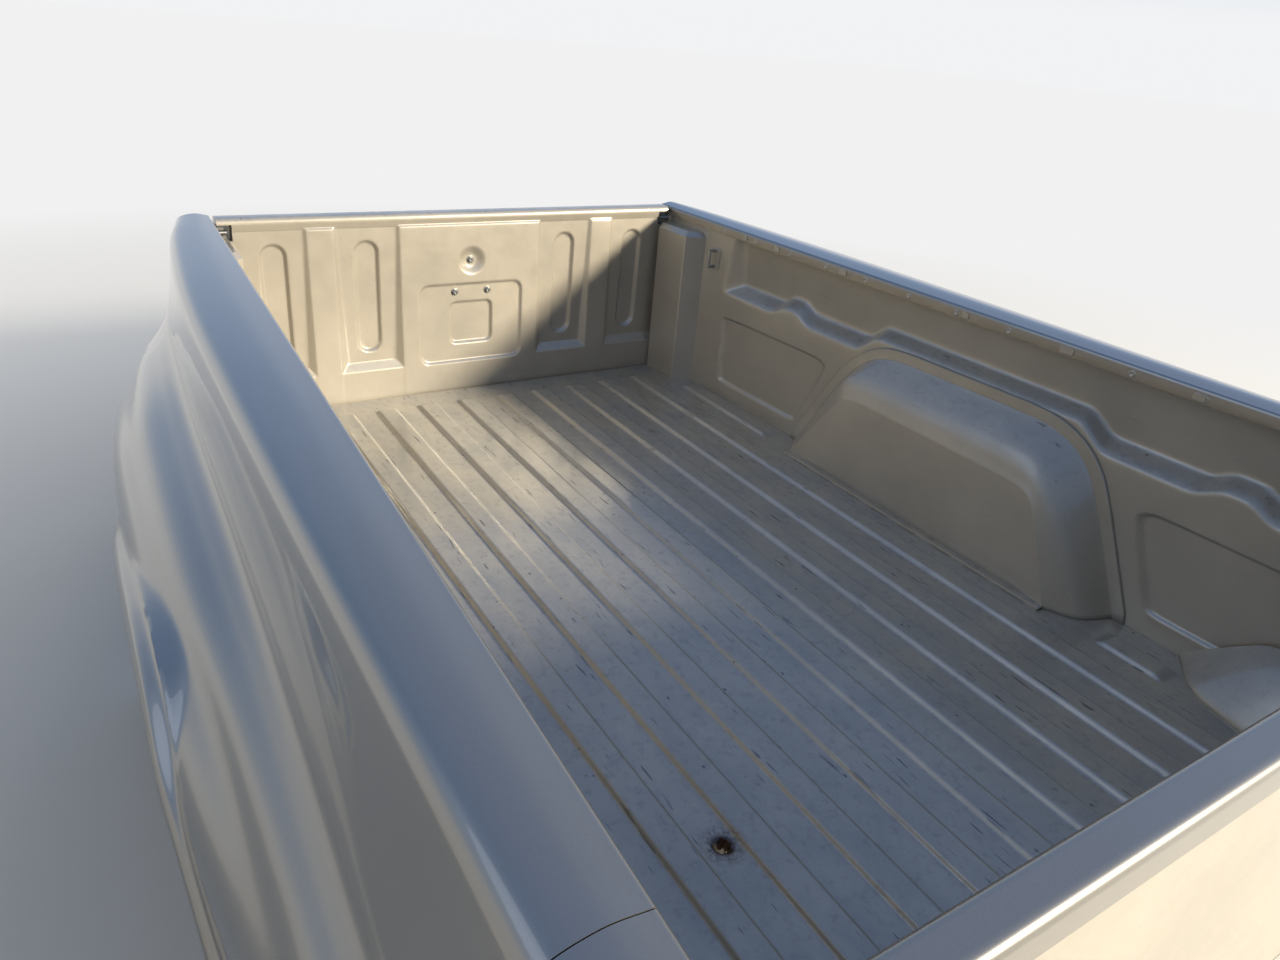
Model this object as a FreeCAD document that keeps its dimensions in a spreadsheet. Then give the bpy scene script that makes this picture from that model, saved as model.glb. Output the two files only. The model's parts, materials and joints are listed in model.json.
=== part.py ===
import FreeCAD, Part
import Sketcher
import math
import os

from FreeCAD import Placement, Rotation, Vector

# Cargo box of a compact pickup truck, with its tailgate and fuel door.
# Bed coordinates while modelling: X forward from the tailgate's inner face,
# Y to the driver's side, Z up from the tops of the floor ribs, millimetres.
# At the end each sub-part is placed so that the origin is the centre of the
# frame bolt pattern, on the underside of the cross sills.

doc = FreeCAD.newDocument("pickup_cargo_box")
sheet = doc.addObject("Spreadsheet::Sheet", "Sizes")

# Alias, value, meaning
SIZES = [
    ("rear_span", 1010, "tailgate inner face to the wheel centre"),
    ("front_span", 840, "wheel centre to the front wall"),
    ("bed_depth", 427, "floor rib tops to the rail's inner edge"),
    ("taper_angle", 2.0, "plan angle of each bedside, degrees"),
    ("sheet_thick", 3, "pressed sheet"),
    ("rib_pitch", 99, "floor rib spacing"),
    ("rib_height", 7, "floor rib height"),
    ("rib_half_base", 25, "half width of a rib at its foot"),
    ("rib_half_top", 18, "half width of a rib on top"),
    ("rib_run_out", 22, "length of a rib's sloped end"),
    ("rib_start", 72, "tailgate face to the start of the ribs"),
    ("rib_front_gap", 26, "end of the ribs to the front wall"),
    ("short_rib_start", 180, "tailgate face to the short ribs behind the wheelhouse"),
    ("short_rib_rear_gap", 465, "wheel centre back to the end of those ribs"),
    ("short_rib_front_gap", 410, "wheel centre to the short ribs ahead of the wheelhouse"),
    ("short_rib_length", 128, "length of those ribs"),
    ("floor_gap", 7, "tailgate face to the floor sheet"),
    ("floor_under_wall", 11, "floor sheet under the wall at the front"),
    ("floor_rear_lip", 22, "turned down rear edge of the floor"),
    ("hole_from_wheel", 465, "rust hole ahead of the wheel centre"),
    ("hole_y", -291, "rust hole from the centre line"),
    ("hole_radius", 11, "rust hole mean radius"),
    ("rail_step", 7, "tailgate end to the rail's inner edge"),
    ("wall_inset", 9, "rail inner edge to the inner wall's face"),
    ("wall_thick", 56, "inner wall panel, to the outer panel"),
    ("lip_depth", 23, "rail flange down from the rail's inner edge"),
    ("header_thick", 36, "front wall"),
    ("header_cap_height", 34, "rolled top of the front wall"),
    ("cap_length", 75, "front wall back to the seam of the corner cap"),
    ("cap_height", 47, "corner cap down from the rail's inner edge"),
    ("seam", 1, "seam between rail and corner cap"),
    ("wheel_drop", 330, "wheel centre below the floor rib tops"),
    ("arch_radius", 420, "wheel arch opening"),
    ("house_depth", 93, "wheelhouse inward from the wall's face"),
    ("house_skin", 4, "wheelhouse sheet"),
    ("house_flange", 3, "thickness of the wheelhouse's foot flange"),
    ("side_drop", 236, "lower edge of the bedside below the floor rib tops"),
    ("skin_thick", 9, "bedside skin below the floor"),
    ("flare_width", 105, "arch flare, from the opening outwards"),
    ("flare_reach", 48, "arch flare proud of the bedside"),
    ("gate_half", 553, "half width of the tailgate"),
    ("gate_thick", 46, "tailgate, inner to outer face"),
    ("gate_gap", 5.5, "clearance at the tailgate's ends"),
    ("gate_drop", 30, "lower edge of the tailgate below the floor rib tops"),
    ("gate_round", 11, "rounding of the tailgate's top edges"),
    ("hinge_drop", 22, "tailgate hinge below the floor rib tops"),
    ("hinge_back", 20, "tailgate hinge behind the inner face"),
    ("pin_radius", 8, "tailgate hinge pin"),
    ("pin_clear", 0.1, "radial clearance of the hinge pins"),
    ("cup_wall", 5, "wall of the hinge cup"),
    ("cup_length", 18, "length of the hinge cup"),
    ("post_length", 122, "rear post along the bed"),
    ("post_from", 6, "tailgate inner face to the post"),
    ("post_inset", 45, "rear post inboard of the wall's face"),
    ("post_below_lip", 16, "rail flange to the top of the post"),
    ("post_chamfer", 12, "sloped top edge of the post"),
    ("post_round", 6, "rounding of the post's upright edges"),
    ("post_foot", 60, "foot of the rear post below the floor rib tops"),
    ("sill_height", 50, "cross sill height"),
    ("sill_width", 92, "cross sill width"),
    ("sill_flange", 14, "cross sill's welded flange"),
    ("sill_draft", 12, "slope of the cross sill's side"),
    ("bolt_pitch_x", 1400, "frame bolt spacing along the bed"),
    ("bolt_inboard", 133, "tailgate's end inboard to the frame bolts"),
    ("bolt_radius", 7, "frame bolt hole"),
    ("bolt_from_wheel", 65, "wheel centre back to the frame bolt pattern's centre"),
    ("lamp_foot", 20, "foot of the tail lamp above the floor rib tops"),
    ("lamp_height", 300, "tail lamp"),
    ("lamp_depth", 26, "tail lamp lens"),
    ("fuel_from_front", 230, "front wall back to the fuel door's centre"),
    ("fuel_height", 25, "fuel door centre above the floor rib tops"),
    ("fuel_size", 140, "fuel door edge length"),
    ("fuel_gap", 6.5, "gap round the fuel door"),
    ("fuel_skin", 5, "fuel door thickness"),
    ("fuel_pocket", 62, "depth of the pocket behind the fuel door"),
    ("fuel_pin_radius", 1.0, "fuel door hinge pin"),
    ("loop_radius", 4, "tie-down loop rod"),
    ("loop_from", 196, "tie-down loop from the tailgate face"),
    ("loop_drop", 91, "rail's inner edge down to the tie-down loop"),
    ("loop_half", 20, "half length of the tie-down loop"),
]
for row, (alias, value, meaning) in enumerate(SIZES, 1):
    sheet.set("A%d" % row, meaning)
    sheet.set("B%d" % row, str(value))
    sheet.setAlias("B%d" % row, alias)
doc.recompute()


def size(alias):
    """One value of the sheet, as a plain number."""
    return float(sheet.get(alias))


parts = {}


def keep(name, made):
    """Name a finished sub-part after its file."""
    made.Label = name
    parts[name] = made
    return made


def bound(kind, name, at=None, **expressions):
    """A parametric feature whose sizes and place are bound to the sheet."""
    made = doc.addObject(kind, name)
    for setting, expression in expressions.items():
        made.setExpression(setting, expression)
    for axis, expression in zip("xyz", at or ()):
        made.setExpression("Placement.Base." + axis, expression)
    return made


def box(name, length, width, height, at):
    return bound("Part::Box", name, at, Length=length, Width=width, Height=height)


def fuse(name, shapes):
    made = doc.addObject("Part::MultiFuse", name)
    made.Shapes = shapes
    return made


def cut(name, base, tool):
    made = doc.addObject("Part::Cut", name)
    made.Base = base
    made.Tool = tool
    return made


def plain(name, shape):
    """A feature whose shape is set by Part's own functions."""
    made = doc.addObject("Part::Feature", name)
    made.Shape = shape
    return made


def mirrored(shape):
    return shape.mirror(Vector(0, 0, 0), Vector(0, 1, 0))


def both_sides(name, shape):
    """Keep a driver's side shape and its mirror image as two sub-parts."""
    keep(name + "_left", plain(name + "_left", shape))
    keep(name + "_right", plain(name + "_right", mirrored(shape)))


def polygon_wire(points):
    return Part.makePolygon([Vector(*p) for p in points] + [Vector(*points[0])])


def prism(points, direction):
    return Part.Face(polygon_wire(points)).extrude(Vector(*direction))


def block(x_from, x_to, y_from, y_to, z_from, z_to):
    corner = Vector(x_from, y_from, z_from)
    return Part.makeBox(x_to - x_from, y_to - y_from, z_to - z_from, corner)


def rod(radius, start, end):
    start = Vector(*start)
    along = Vector(*end) - start
    return Part.makeCylinder(radius, along.Length, start, along)


def bent_rod(radius, points):
    """A round rod along straight stretches, mitred where it turns."""
    path = Part.Wire(Part.makePolygon([Vector(*p) for p in points]).Edges)
    start = Vector(*points[0])
    section = Part.Wire(Part.makeCircle(radius, start, Vector(*points[1]) - start))
    return path.makePipeShell([section], True, False, 1)


def loft(sections):
    return Part.makeLoft([polygon_wire(points) for points in sections], True, True)


def rounded_rectangle(place, y_from, y_to, z_from, z_to, radius):
    """A wire with arcs at its corners, on the upright plane x = place."""
    corners = [(y_to, z_to, 0), (y_from, z_to, 90), (y_from, z_from, 180), (y_to, z_from, 270)]
    arcs = []
    for y, z, first in corners:
        centre = Vector(place,
                        y + radius * (1 if first in (90, 180) else -1),
                        z + radius * (1 if first in (180, 270) else -1))
        arcs.append(Part.makeCircle(radius, centre, Vector(1, 0, 0), first, first + 90))
    edges = []
    for arc, following in zip(arcs, arcs[1:] + arcs[:1]):
        edges.append(arc)
        corner_to = following.valueAt(following.FirstParameter)
        edges.append(Part.makeLine(arc.valueAt(arc.LastParameter), corner_to))
    return Part.Wire(edges)


def pan(place, depth, y_from, y_to, z_from, z_to, radius, slope):
    """A rounded pan with sloped sides, to cut from the face x = place."""
    over = 1 if depth > 0 else -1
    rings = [rounded_rectangle(place + over, y_from, y_to, z_from, z_to, radius),
             rounded_rectangle(place, y_from, y_to, z_from, z_to, radius)]
    mouth = Part.makeLoft(rings, True, True)
    rings = [rings[1], rounded_rectangle(place - depth, y_from + slope, y_to - slope,
                                         z_from + slope, z_to - slope, radius - slope)]
    return mouth.fuse(Part.makeLoft(rings, True, True))


def sketch_on(body, name, role):
    sketch = body.newObject("Sketcher::SketchObject", name)
    plane = [item for item in body.Origin.OriginFeatures if item.Role == role][0]
    sketch.AttachmentSupport = [(plane, "")]
    sketch.MapMode = "FlatFace"
    return sketch


def hold_point(sketch, geometry, corner, values, words):
    """Tie one sketch point to expressions of the sheet."""
    for axis, value, word in zip("XY", values, words):
        rule = Sketcher.Constraint("Distance" + axis, -1, 1, geometry, corner, value)
        index = sketch.addConstraint(rule)
        sketch.setExpression("Constraints[%d]" % index, word)


def number(word):
    return float(sheet.evalExpression(word))


def sketch_outline(body, name, role, points):
    """A closed outline whose corners are bound to expressions of the sheet."""
    sketch = sketch_on(body, name, role)
    corners = [Vector(number(across), number(up), 0) for across, up in points]
    count = len(points)
    for i in range(count):
        sketch.addGeometry(Part.LineSegment(corners[i], corners[(i + 1) % count]), False)
    for i in range(count):
        sketch.addConstraint(Sketcher.Constraint("Coincident", i, 2, (i + 1) % count, 1))
    for i in range(count):
        hold_point(sketch, i, 1, (corners[i].x, corners[i].y), points[i])
    return sketch


# Shared lines of the box, as expressions and as plain numbers
SLOPE = "tan(Sizes.taper_angle * 1 deg)"
RAIL = "(Sizes.gate_half + Sizes.rail_step)"
BED_LENGTH = "(Sizes.rear_span + Sizes.front_span)"
FRONT = "(%s + Sizes.header_thick)" % BED_LENGTH
FLOOR_HALF = "(%s + Sizes.wall_inset + %s * %s + Sizes.floor_under_wall)" % (RAIL, FRONT, SLOPE)
SHEET_FOOT = "(-Sizes.rib_height - Sizes.sheet_thick)"
SILL_FOOT = "(%s - Sizes.sill_height)" % SHEET_FOOT
BOLT_CENTRE = "(Sizes.rear_span - Sizes.bolt_from_wheel)"
BOLT_HALF = "(Sizes.gate_half - Sizes.bolt_inboard)"

taper = math.radians(size("taper_angle"))
bed_length = number(BED_LENGTH)
front_x = number(FRONT)
wheel_x = size("rear_span")
wheel_z = -size("wheel_drop")
floor_z = -size("rib_height")
sheet_foot = number(SHEET_FOOT)
floor_half = number(FLOOR_HALF)
rail_top = size("bed_depth")
lip_z = rail_top - size("lip_depth")
side_foot = -size("side_drop")
rear_end = 2 - size("gate_thick")
FAR = 3000


def rail_y(x):
    """Rail inner edge, from the centre line."""
    return number(RAIL) + x * math.tan(taper)


def wall_y(x):
    """Face of the bedside's inner wall."""
    return rail_y(x) + size("wall_inset")


def wall_back(x):
    """Where the inner wall panel meets the outer panel."""
    return wall_y(x) + size("wall_thick") / math.cos(taper)


# Wheelhouse and wheel arch
# The tub's outline on three upright planes, rear foot to front foot:
# distance ahead of the wheel centre, height above the floor sheet
HOUSE_FACE = [(-382, 0), (-266, 172), (-252, 185), (-210, 188),
              (180, 188), (212, 181), (232, 157), (312, 0)]
HOUSE_MIDDLE = [(-408, 0), (-294, 197), (-265, 221), (-205, 231),
                (182, 233), (228, 213), (260, 167), (362, 0)]
HOUSE_WALL = [(-425, 0), (-306, 212), (-245, 265), (-190, 278),
              (178, 281), (234, 259), (274, 221), (384, 0)]
HOUSE_LEAN = 0.075
HOUSE_FACE_BACK = 15
HOUSE_MIDDLE_SHARE = 0.5
ARCH_ANGLES = [172, 142, 122, 105, 75, 58, 38, 8]

house_face = wall_y(wheel_x) - size("house_depth")
house_middle = wall_y(wheel_x) - HOUSE_MIDDLE_SHARE * size("house_depth")


def house_sections(inset, foot_drop):
    """The tub's outlines in space, shrunk by a skin and with lowered feet."""
    sections = []
    for level, outline in enumerate((HOUSE_FACE, HOUSE_MIDDLE, HOUSE_WALL)):
        points = []
        for i, (ahead, height) in enumerate(outline):
            foot = i in (0, len(outline) - 1)
            x = wheel_x + ahead + inset * (1 if ahead < 0 else -1)
            z = floor_z + height - (foot_drop if foot else inset)
            if level == 0:
                y = house_face + HOUSE_FACE_BACK + inset + z * HOUSE_LEAN
            elif level == 1:
                y = house_middle
            else:
                y = wall_y(x) + inset / 2
            points.append((x, y, z))
        sections.append(points)
    return sections


def arch_section(y, radius):
    """The tub's outline where it has become the round wheel arch."""
    turns = [math.radians(angle) for angle in ARCH_ANGLES]
    return [(wheel_x + radius * math.cos(turn), y, wheel_z + radius * math.sin(turn)) for turn in turns]


def round_arch(radius, y_from, y_to):
    return rod(radius, (wheel_x, y_from, wheel_z), (wheel_x, y_to, wheel_z))


ARCH_BEHIND_SKIN = 38
skin_at_wheel = rail_y(wheel_x) + 214
arch_mouth = skin_at_wheel - ARCH_BEHIND_SKIN
cavity_sections = house_sections(size("house_skin"), size("side_drop"))
cavity_sections.append(arch_section(arch_mouth, size("arch_radius")))
tub_cavity = loft(cavity_sections)
wheel_cavity = tub_cavity.fuse(round_arch(size("arch_radius"), arch_mouth, skin_at_wheel + 90))

# Foot flange of the wheelhouse on the floor: ahead of the wheel centre, inward of the wall
FLANGE = [(-404, 29), (-404, 84), (-388, 96), (308, 96), (358, 74), (386, 29)]
flange_points = [(wheel_x + ahead, wall_y(wheel_x) - inward, floor_z) for ahead, inward in FLANGE]
flange = prism(flange_points, (0, 0, size("house_flange")))
tub = loft(house_sections(0, 0)).fuse(flange).cut(tub_cavity)
both_sides("wheelhouse", tub)

# Floor sheet with its pressed ribs
plate = box("floor_plate", FRONT + " - Sizes.floor_gap", FLOOR_HALF + " * 2", "Sizes.sheet_thick",
            ("Sizes.floor_gap", "-" + FLOOR_HALF, SHEET_FOOT))
rear_lip = box("floor_lip", "Sizes.sheet_thick", "Sizes.gate_half * 2", "Sizes.floor_rear_lip",
               ("Sizes.floor_gap", "-Sizes.gate_half", SHEET_FOOT + " - Sizes.floor_rear_lip"))


def rib(name, start, end, place, sunk):
    """A long bar with sloped sides and ends, standing on the floor sheet."""
    drop = "Sizes.sheet_thick" if sunk else "0"
    deeper = "1" if sunk else "0"
    made = bound("Part::Wedge", name,
                 ("0", "(%s) * Sizes.rib_pitch" % place, "-Sizes.rib_height - %s" % drop),
                 Xmin=start, Xmax=end,
                 X2min=start + " + Sizes.rib_run_out", X2max=end + " - Sizes.rib_run_out",
                 Ymin="-" + deeper, Ymax="Sizes.rib_height",
                 Zmin="-Sizes.rib_half_base", Zmax="Sizes.rib_half_base",
                 Z2min="-Sizes.rib_half_top", Z2max="Sizes.rib_half_top")
    made.Placement = Placement(made.Placement.Base, Rotation(Vector(1, 0, 0), 90))
    return made


# Ribs: place in pitches from the centre line, start and end
FULL_RIB = ("Sizes.rib_start", BED_LENGTH + " - Sizes.rib_front_gap")
REAR_RIB = ("Sizes.short_rib_start", "Sizes.rear_span - Sizes.short_rib_rear_gap")
FRONT_RIB = ("Sizes.rear_span + Sizes.short_rib_front_gap",
             "Sizes.rear_span + Sizes.short_rib_front_gap + Sizes.short_rib_length")
RIBS = [(i - 4.5, FULL_RIB) for i in range(10)]
RIBS += [(place, span) for place in (-5.5, 5.5) for span in (REAR_RIB, FRONT_RIB)]
ribs = []
channels = []
for count, (place, (start, end)) in enumerate(RIBS):
    ribs.append(rib("rib_%d" % count, start, end, "%.1f" % place, False))
    channels.append(rib("channel_%d" % count, start, end, "%.1f" % place, True))
raised_floor = fuse("raised_floor", [plate, rear_lip] + ribs)
hollow_floor = cut("hollow_floor", raised_floor, fuse("rib_channels", channels))
# Ragged edge of the rust hole, in radii: along, across
HOLE_CORNERS = [(1.0, 0.0), (0.62, 0.5), (0.25, 1.05), (-0.45, 0.8), (-1.1, 0.35),
                (-0.8, -0.45), (-0.2, -0.95), (0.55, -0.75)]
hole_x = wheel_x + size("hole_from_wheel")
rust_outline = []
for along, across in HOLE_CORNERS:
    x = hole_x + size("hole_radius") * along
    y = size("hole_y") + size("hole_radius") * across
    rust_outline.append((x, y, -3 * size("rib_height")))
rust_hole = prism(rust_outline, (0, 0, 4 * size("rib_height")))
openings = plain("floor_openings",
                 Part.makeCompound([rust_hole, tub_cavity, mirrored(tub_cavity)]))
keep("floor_panel", cut("floor_panel", hollow_floor, openings))

# Inner wall of the bedside, with its stepped shelf and two pressed panels
LEDGE_START = 245
LEDGE_REAR_HOUSE = -302
LEDGE_FRONT_HOUSE = 274
LEDGE_FRONT_GAP = 105
LEDGE_Z = 262
LEDGE_RISE = 26
HOUSE_STEP = 38
SHELF_DEPTH = 36
SHELF_LEAN = 0.19
# A bump in the shelf: along from its middle, up, and how far its upper line is shifted
BUMP = [(-61, 0, 12), (-20, 21, -3), (22, 21, 5), (62, 0, -10)]
REAR_BUMP_SHARE = 0.525
FRONT_BUMP_SHARE = 0.47
LEDGE_TOP_FRONT = 122
LEDGE_TOP_REAR = 262
LEDGE_TOP_OVER = 11
PANEL_DEPTH = 5
PANEL_SLOPE = 6


def bump(bay_start, bay_end, share):
    middle = bay_start + share * (bay_end - bay_start)
    return [(middle + along, LEDGE_Z + up, shift) for along, up, shift in BUMP]


def shelf_line():
    """Shelf edge on the wall's face: x, z, and the shift of its upper line."""
    rear_bay = (LEDGE_START, wheel_x + LEDGE_REAR_HOUSE)
    front_bay = (wheel_x + LEDGE_FRONT_HOUSE, bed_length - LEDGE_FRONT_GAP)
    points = [(rear_bay[0], LEDGE_Z, 41)]
    points += bump(*rear_bay, REAR_BUMP_SHARE)
    points += [(rear_bay[1], LEDGE_Z, 6),
               (rear_bay[1] + 48, LEDGE_Z + HOUSE_STEP, 4),
               (front_bay[0] - 49, LEDGE_Z + HOUSE_STEP, -3),
               (front_bay[0], LEDGE_Z, -8)]
    points += bump(*front_bay, FRONT_BUMP_SHARE)
    points += [(front_bay[1], LEDGE_Z, -41)]
    return points


def upper_depth(z):
    """Depth of the upper wall behind the face: it leans in towards the rail."""
    return SHELF_DEPTH - (z - LEDGE_Z - LEDGE_RISE) * SHELF_LEAN


def shelf_recess():
    top_z = lip_z + LEDGE_TOP_OVER
    shelf = shelf_line()
    near = [(x, 0, z) for x, z, shift in shelf]
    near += [(bed_length - LEDGE_TOP_FRONT, 0, top_z), (LEDGE_TOP_REAR, 0, top_z)]
    far = [(x + shift, upper_depth(z + LEDGE_RISE), z + LEDGE_RISE) for x, z, shift in shelf]
    deep_top = upper_depth(top_z)
    far += [(bed_length - LEDGE_TOP_FRONT - 20, deep_top, top_z), (LEDGE_TOP_REAR + 26, deep_top, top_z)]
    return loft([near, far])


def pressing(points, depth, slope):
    """A shallow panel pressed outboard, to cut from a wall's face."""
    rim = polygon_wire([(x, 0, z) for x, z in points])
    small = Part.Face(rim).makeOffset2D(-slope, 2).OuterWire
    small.translate(Vector(0, depth, 0))
    return Part.makeLoft([rim, small], True, True)


PANEL_FOOT = 30
panel_rear = [(262, PANEL_FOOT), (250, 205), (wheel_x - 398, 210), (wheel_x - 376, 196),
              (wheel_x - 450, PANEL_FOOT)]
panel_front = [(wheel_x + 430, PANEL_FOOT), (wheel_x + 358, 190), (wheel_x + 378, 206),
               (bed_length - 110, 205), (bed_length - 122, PANEL_FOOT)]
wall = block(-FAR, FAR, 0, size("wall_thick"), floor_z, lip_z)
wall = wall.cut(shelf_recess())
for outline in (panel_rear, panel_front):
    wall = wall.cut(pressing(outline, PANEL_DEPTH, PANEL_SLOPE))
wall.Placement = Placement(Vector(0, wall_y(0), 0), Rotation(Vector(0, 0, 1), size("taper_angle")))
wall = wall.common(block(size("post_from"), front_x, 0, FAR, floor_z, lip_z))
wall = wall.cut(tub_cavity)
both_sides("side_inner", wall)

# Outer panel of the bedside: rail, shoulder, groove, hip and lower side
# Stations: x, then shoulder, groove, hip, side, low side and bottom edge,
# each outward from the rail's inner edge, and the groove's and hip's drop below it
STATIONS = [
    (rear_end, 70, 104, 178, 208, 222, 194, 201, 320),
    (100, 92, 114, 200, 220, 225, 199, 198, 300),
    (wheel_x - 650, 108, 121, 214, 228, 226, 197, 195, 272),
    (wheel_x - 410, 113, 122, 214, 228, 222, 191, 195, 266),
    (wheel_x - 110, 109, 118, 207, 220, 213, 181, 195, 268),
    (wheel_x + 190, 101, 114, 188, 207, 202, 170, 200, 276),
    (wheel_x + 440, 93, 114, 176, 189, 187, 158, 200, 275),
    (bed_length - 200, 87, 116, 168, 173, 173, 148, 200, 265),
    (front_x + 2, 80, 112, 150, 159, 158, 138, 200, 265),
]
# Crown of the rail: share of its width, drop below the inner edge
CROWN = [(0.0, 6), (0.02, 1.5), (0.08, 0), (0.42, -4), (0.78, 1), (0.94, 13), (1.0, 32)]
SIDE_DROP = 397
LOW_DROP = 547
SKIRT_DROP = 632


def station_at(x):
    """The station table read at any x, on a smooth curve through its rows."""
    last = len(STATIONS) - 2
    row = max(i for i in range(last + 1) if i == 0 or STATIONS[i][0] <= x)
    before, start, end, after = (STATIONS[min(max(row + k, 0), last + 1)] for k in (-1, 0, 1, 2))
    t = (x - start[0]) / (end[0] - start[0])
    values = []
    for a, b, c, d in list(zip(before, start, end, after))[1:]:
        lead = (c - a) * (end[0] - start[0]) / (end[0] - before[0])
        trail = (d - b) * (end[0] - start[0]) / (after[0] - start[0])
        bend = (2 * t ** 3 - 3 * t ** 2 + 1) * b + (3 * t ** 2 - 2 * t ** 3) * c
        values.append(bend + (t ** 3 - 2 * t ** 2 + t) * lead + (t ** 3 - t ** 2) * trail)
    return values


def between(a, b, share):
    return a + share * (b - a)


def side_section(x):
    """The outer panel's closed outline at one place along the bed."""
    shoulder, groove, hip, side, low, bottom, groove_drop, hip_drop = station_at(x)
    profile = [(share * shoulder, drop) for share, drop in CROWN]
    profile += [(between(shoulder, groove, 0.35), between(32, groove_drop, 0.35)),
                (groove - 3, groove_drop - 32),
                (groove + 3, groove_drop),
                (between(groove, hip, 0.32), between(groove_drop, hip_drop, 0.30)),
                (between(groove, hip, 0.72), between(groove_drop, hip_drop, 0.62)),
                (hip - 2, hip_drop),
                (between(hip, side, 0.6), hip_drop + 42),
                (side, SIDE_DROP),
                (low, LOW_DROP),
                (between(low, bottom, 0.3), SKIRT_DROP),
                (bottom, rail_top + size("side_drop"))]
    skin = size("skin_thick")
    profile += [(bottom - skin, rail_top + size("side_drop") - 3),
                (between(low, bottom, 0.3) - skin, SKIRT_DROP),
                (low - skin, LOW_DROP),
                (side - skin, rail_top - floor_z)]
    points = [(x, rail_y(x) + out, rail_top - drop) for out, drop in profile]
    return points + [(x, wall_back(x), floor_z), (x, wall_back(x), lip_z), (x, rail_y(x), lip_z)]


side_places = [STATIONS[0][0]]
for start, end in zip(STATIONS, STATIONS[1:]):
    side_places += [between(start[0], end[0], 0.5), end[0]]
side_solid = loft([side_section(x) for x in side_places])

# Wheel arch flare, turned about the wheel's axis: shares of its width and of its reach
FLARE = [(0.0, 0.72), (0.12, 0.9), (0.38, 1.0), (0.62, 0.97),
         (0.82, 0.68), (1.0, 0.1), (1.2, -0.55), (1.45, -1.5)]
FLARE_THIN_POINTS = 7
FLARE_ROOT = 90


def turned_about_wheel(points):
    around = [(wheel_x + radius, y, wheel_z) for radius, y in points]
    return Part.Face(polygon_wire(around)).revolve(Vector(wheel_x, 0, wheel_z), Vector(0, 1, 0), 360)


outer_line = [(size("arch_radius") + along * size("flare_width"), skin_at_wheel + out * size("flare_reach"))
              for along, out in FLARE]
root = skin_at_wheel - FLARE_ROOT
solid_flare = turned_about_wheel(outer_line + [(outer_line[-1][0], root), (outer_line[0][0], root)])
thin_line = outer_line[:FLARE_THIN_POINTS]
thin_back = [(radius, y - size("skin_thick")) for radius, y in thin_line[::-1]]
thin_flare = turned_about_wheel(thin_line + thin_back)
solid_flare = solid_flare.common(block(-FAR, FAR, 0, FAR, floor_z, rail_top))
thin_flare = thin_flare.common(block(-FAR, FAR, 0, FAR, side_foot, floor_z))
side_skin = side_solid.fuse([solid_flare, thin_flare]).cut(wheel_cavity)

# Front corner caps over the end of the rails
cap_from = bed_length - size("cap_length")
cap_foot = rail_top - size("cap_height")
both_sides("corner_cap", side_solid.common(block(cap_from, FAR, 0, FAR, cap_foot, FAR)))
side_skin = side_skin.cut(block(cap_from - size("seam"), FAR, 0, FAR, cap_foot, FAR))

# Tail lamp, let into the rear corner of the outer panel
LAMP_SEAT = 0.3
LAMP_FROM_RAIL = 80
lamp_x = rear_end + size("lamp_depth")
lamp_y = rail_y(0) + LAMP_FROM_RAIL
lamp_z = size("lamp_foot")
lamp_top = lamp_z + size("lamp_height")
both_sides("tail_lamp", side_solid.common(block(-FAR, lamp_x, lamp_y, FAR, lamp_z, lamp_top)))
side_skin = side_skin.cut(block(-FAR, lamp_x + LAMP_SEAT, lamp_y - LAMP_SEAT, FAR,
                                lamp_z - LAMP_SEAT, lamp_top + LAMP_SEAT))
keep("side_outer_right", plain("side_outer_right", mirrored(side_skin)))

# Fuel door on the driver's side, hinged at its front edge
KNUCKLE_RADIUS = 1.9
HINGE_AHEAD = 4.5
KNUCKLE_HALF = 50
BORE_CLEAR = 0.1
DOOR_ROOM = 30
fuel_half = size("fuel_size") / 2
gap = size("fuel_gap")
fuel_x = bed_length - size("fuel_from_front")
fuel_z = size("fuel_height")
fuel_foot = fuel_z - fuel_half
fuel_top = fuel_z + fuel_half
hinge_x = fuel_x + fuel_half + HINGE_AHEAD


def skin_y(x, z):
    """How far out the bedside's skin is at one place."""
    probe = side_solid.common(Part.makeLine(Vector(x, wall_back(x) + 1, z), Vector(x, FAR, z)))
    return probe.BoundBox.YMax


hinge_y = min(skin_y(hinge_x, fuel_z - KNUCKLE_HALF), skin_y(hinge_x, fuel_z + KNUCKLE_HALF))
hinge_y -= KNUCKLE_RADIUS + 0.5
pocket_y = skin_y(fuel_x, fuel_z) - size("fuel_pocket")
inner_skin = side_solid.copy()
inner_skin.translate(Vector(0, -size("fuel_skin"), 0))
door = side_solid.common(block(fuel_x - fuel_half, fuel_x + fuel_half, pocket_y + DOOR_ROOM, FAR,
                               fuel_foot, fuel_top)).cut(inner_skin)


def upright(radius, low, high):
    return rod(radius, (hinge_x, hinge_y, low), (hinge_x, hinge_y, high))


pocket = block(fuel_x - fuel_half - gap, fuel_x + fuel_half + gap, pocket_y, FAR,
               fuel_foot - gap, fuel_top + gap)
keep("side_outer_left", plain("side_outer_left", side_skin.cut(pocket)))
knuckle_foot = fuel_z - KNUCKLE_HALF
knuckle_top = fuel_z + KNUCKLE_HALF
LEAF_OVERLAP = 4
leaf = block(hinge_x - HINGE_AHEAD - LEAF_OVERLAP, hinge_x, hinge_y - KNUCKLE_RADIUS, hinge_y,
             knuckle_foot, knuckle_top)
door = door.fuse([leaf, upright(KNUCKLE_RADIUS, knuckle_foot, knuckle_top)])
door = door.cut(upright(size("fuel_pin_radius") + BORE_CLEAR, knuckle_foot - 9, knuckle_top + 9))
keep("fuel_door", plain("fuel_door", door))
LUG_BACK = 8
LUG_FRONT = 1.2
LUG_GAP = 12
hinge = upright(size("fuel_pin_radius"), fuel_foot - gap, fuel_top + gap)
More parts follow.
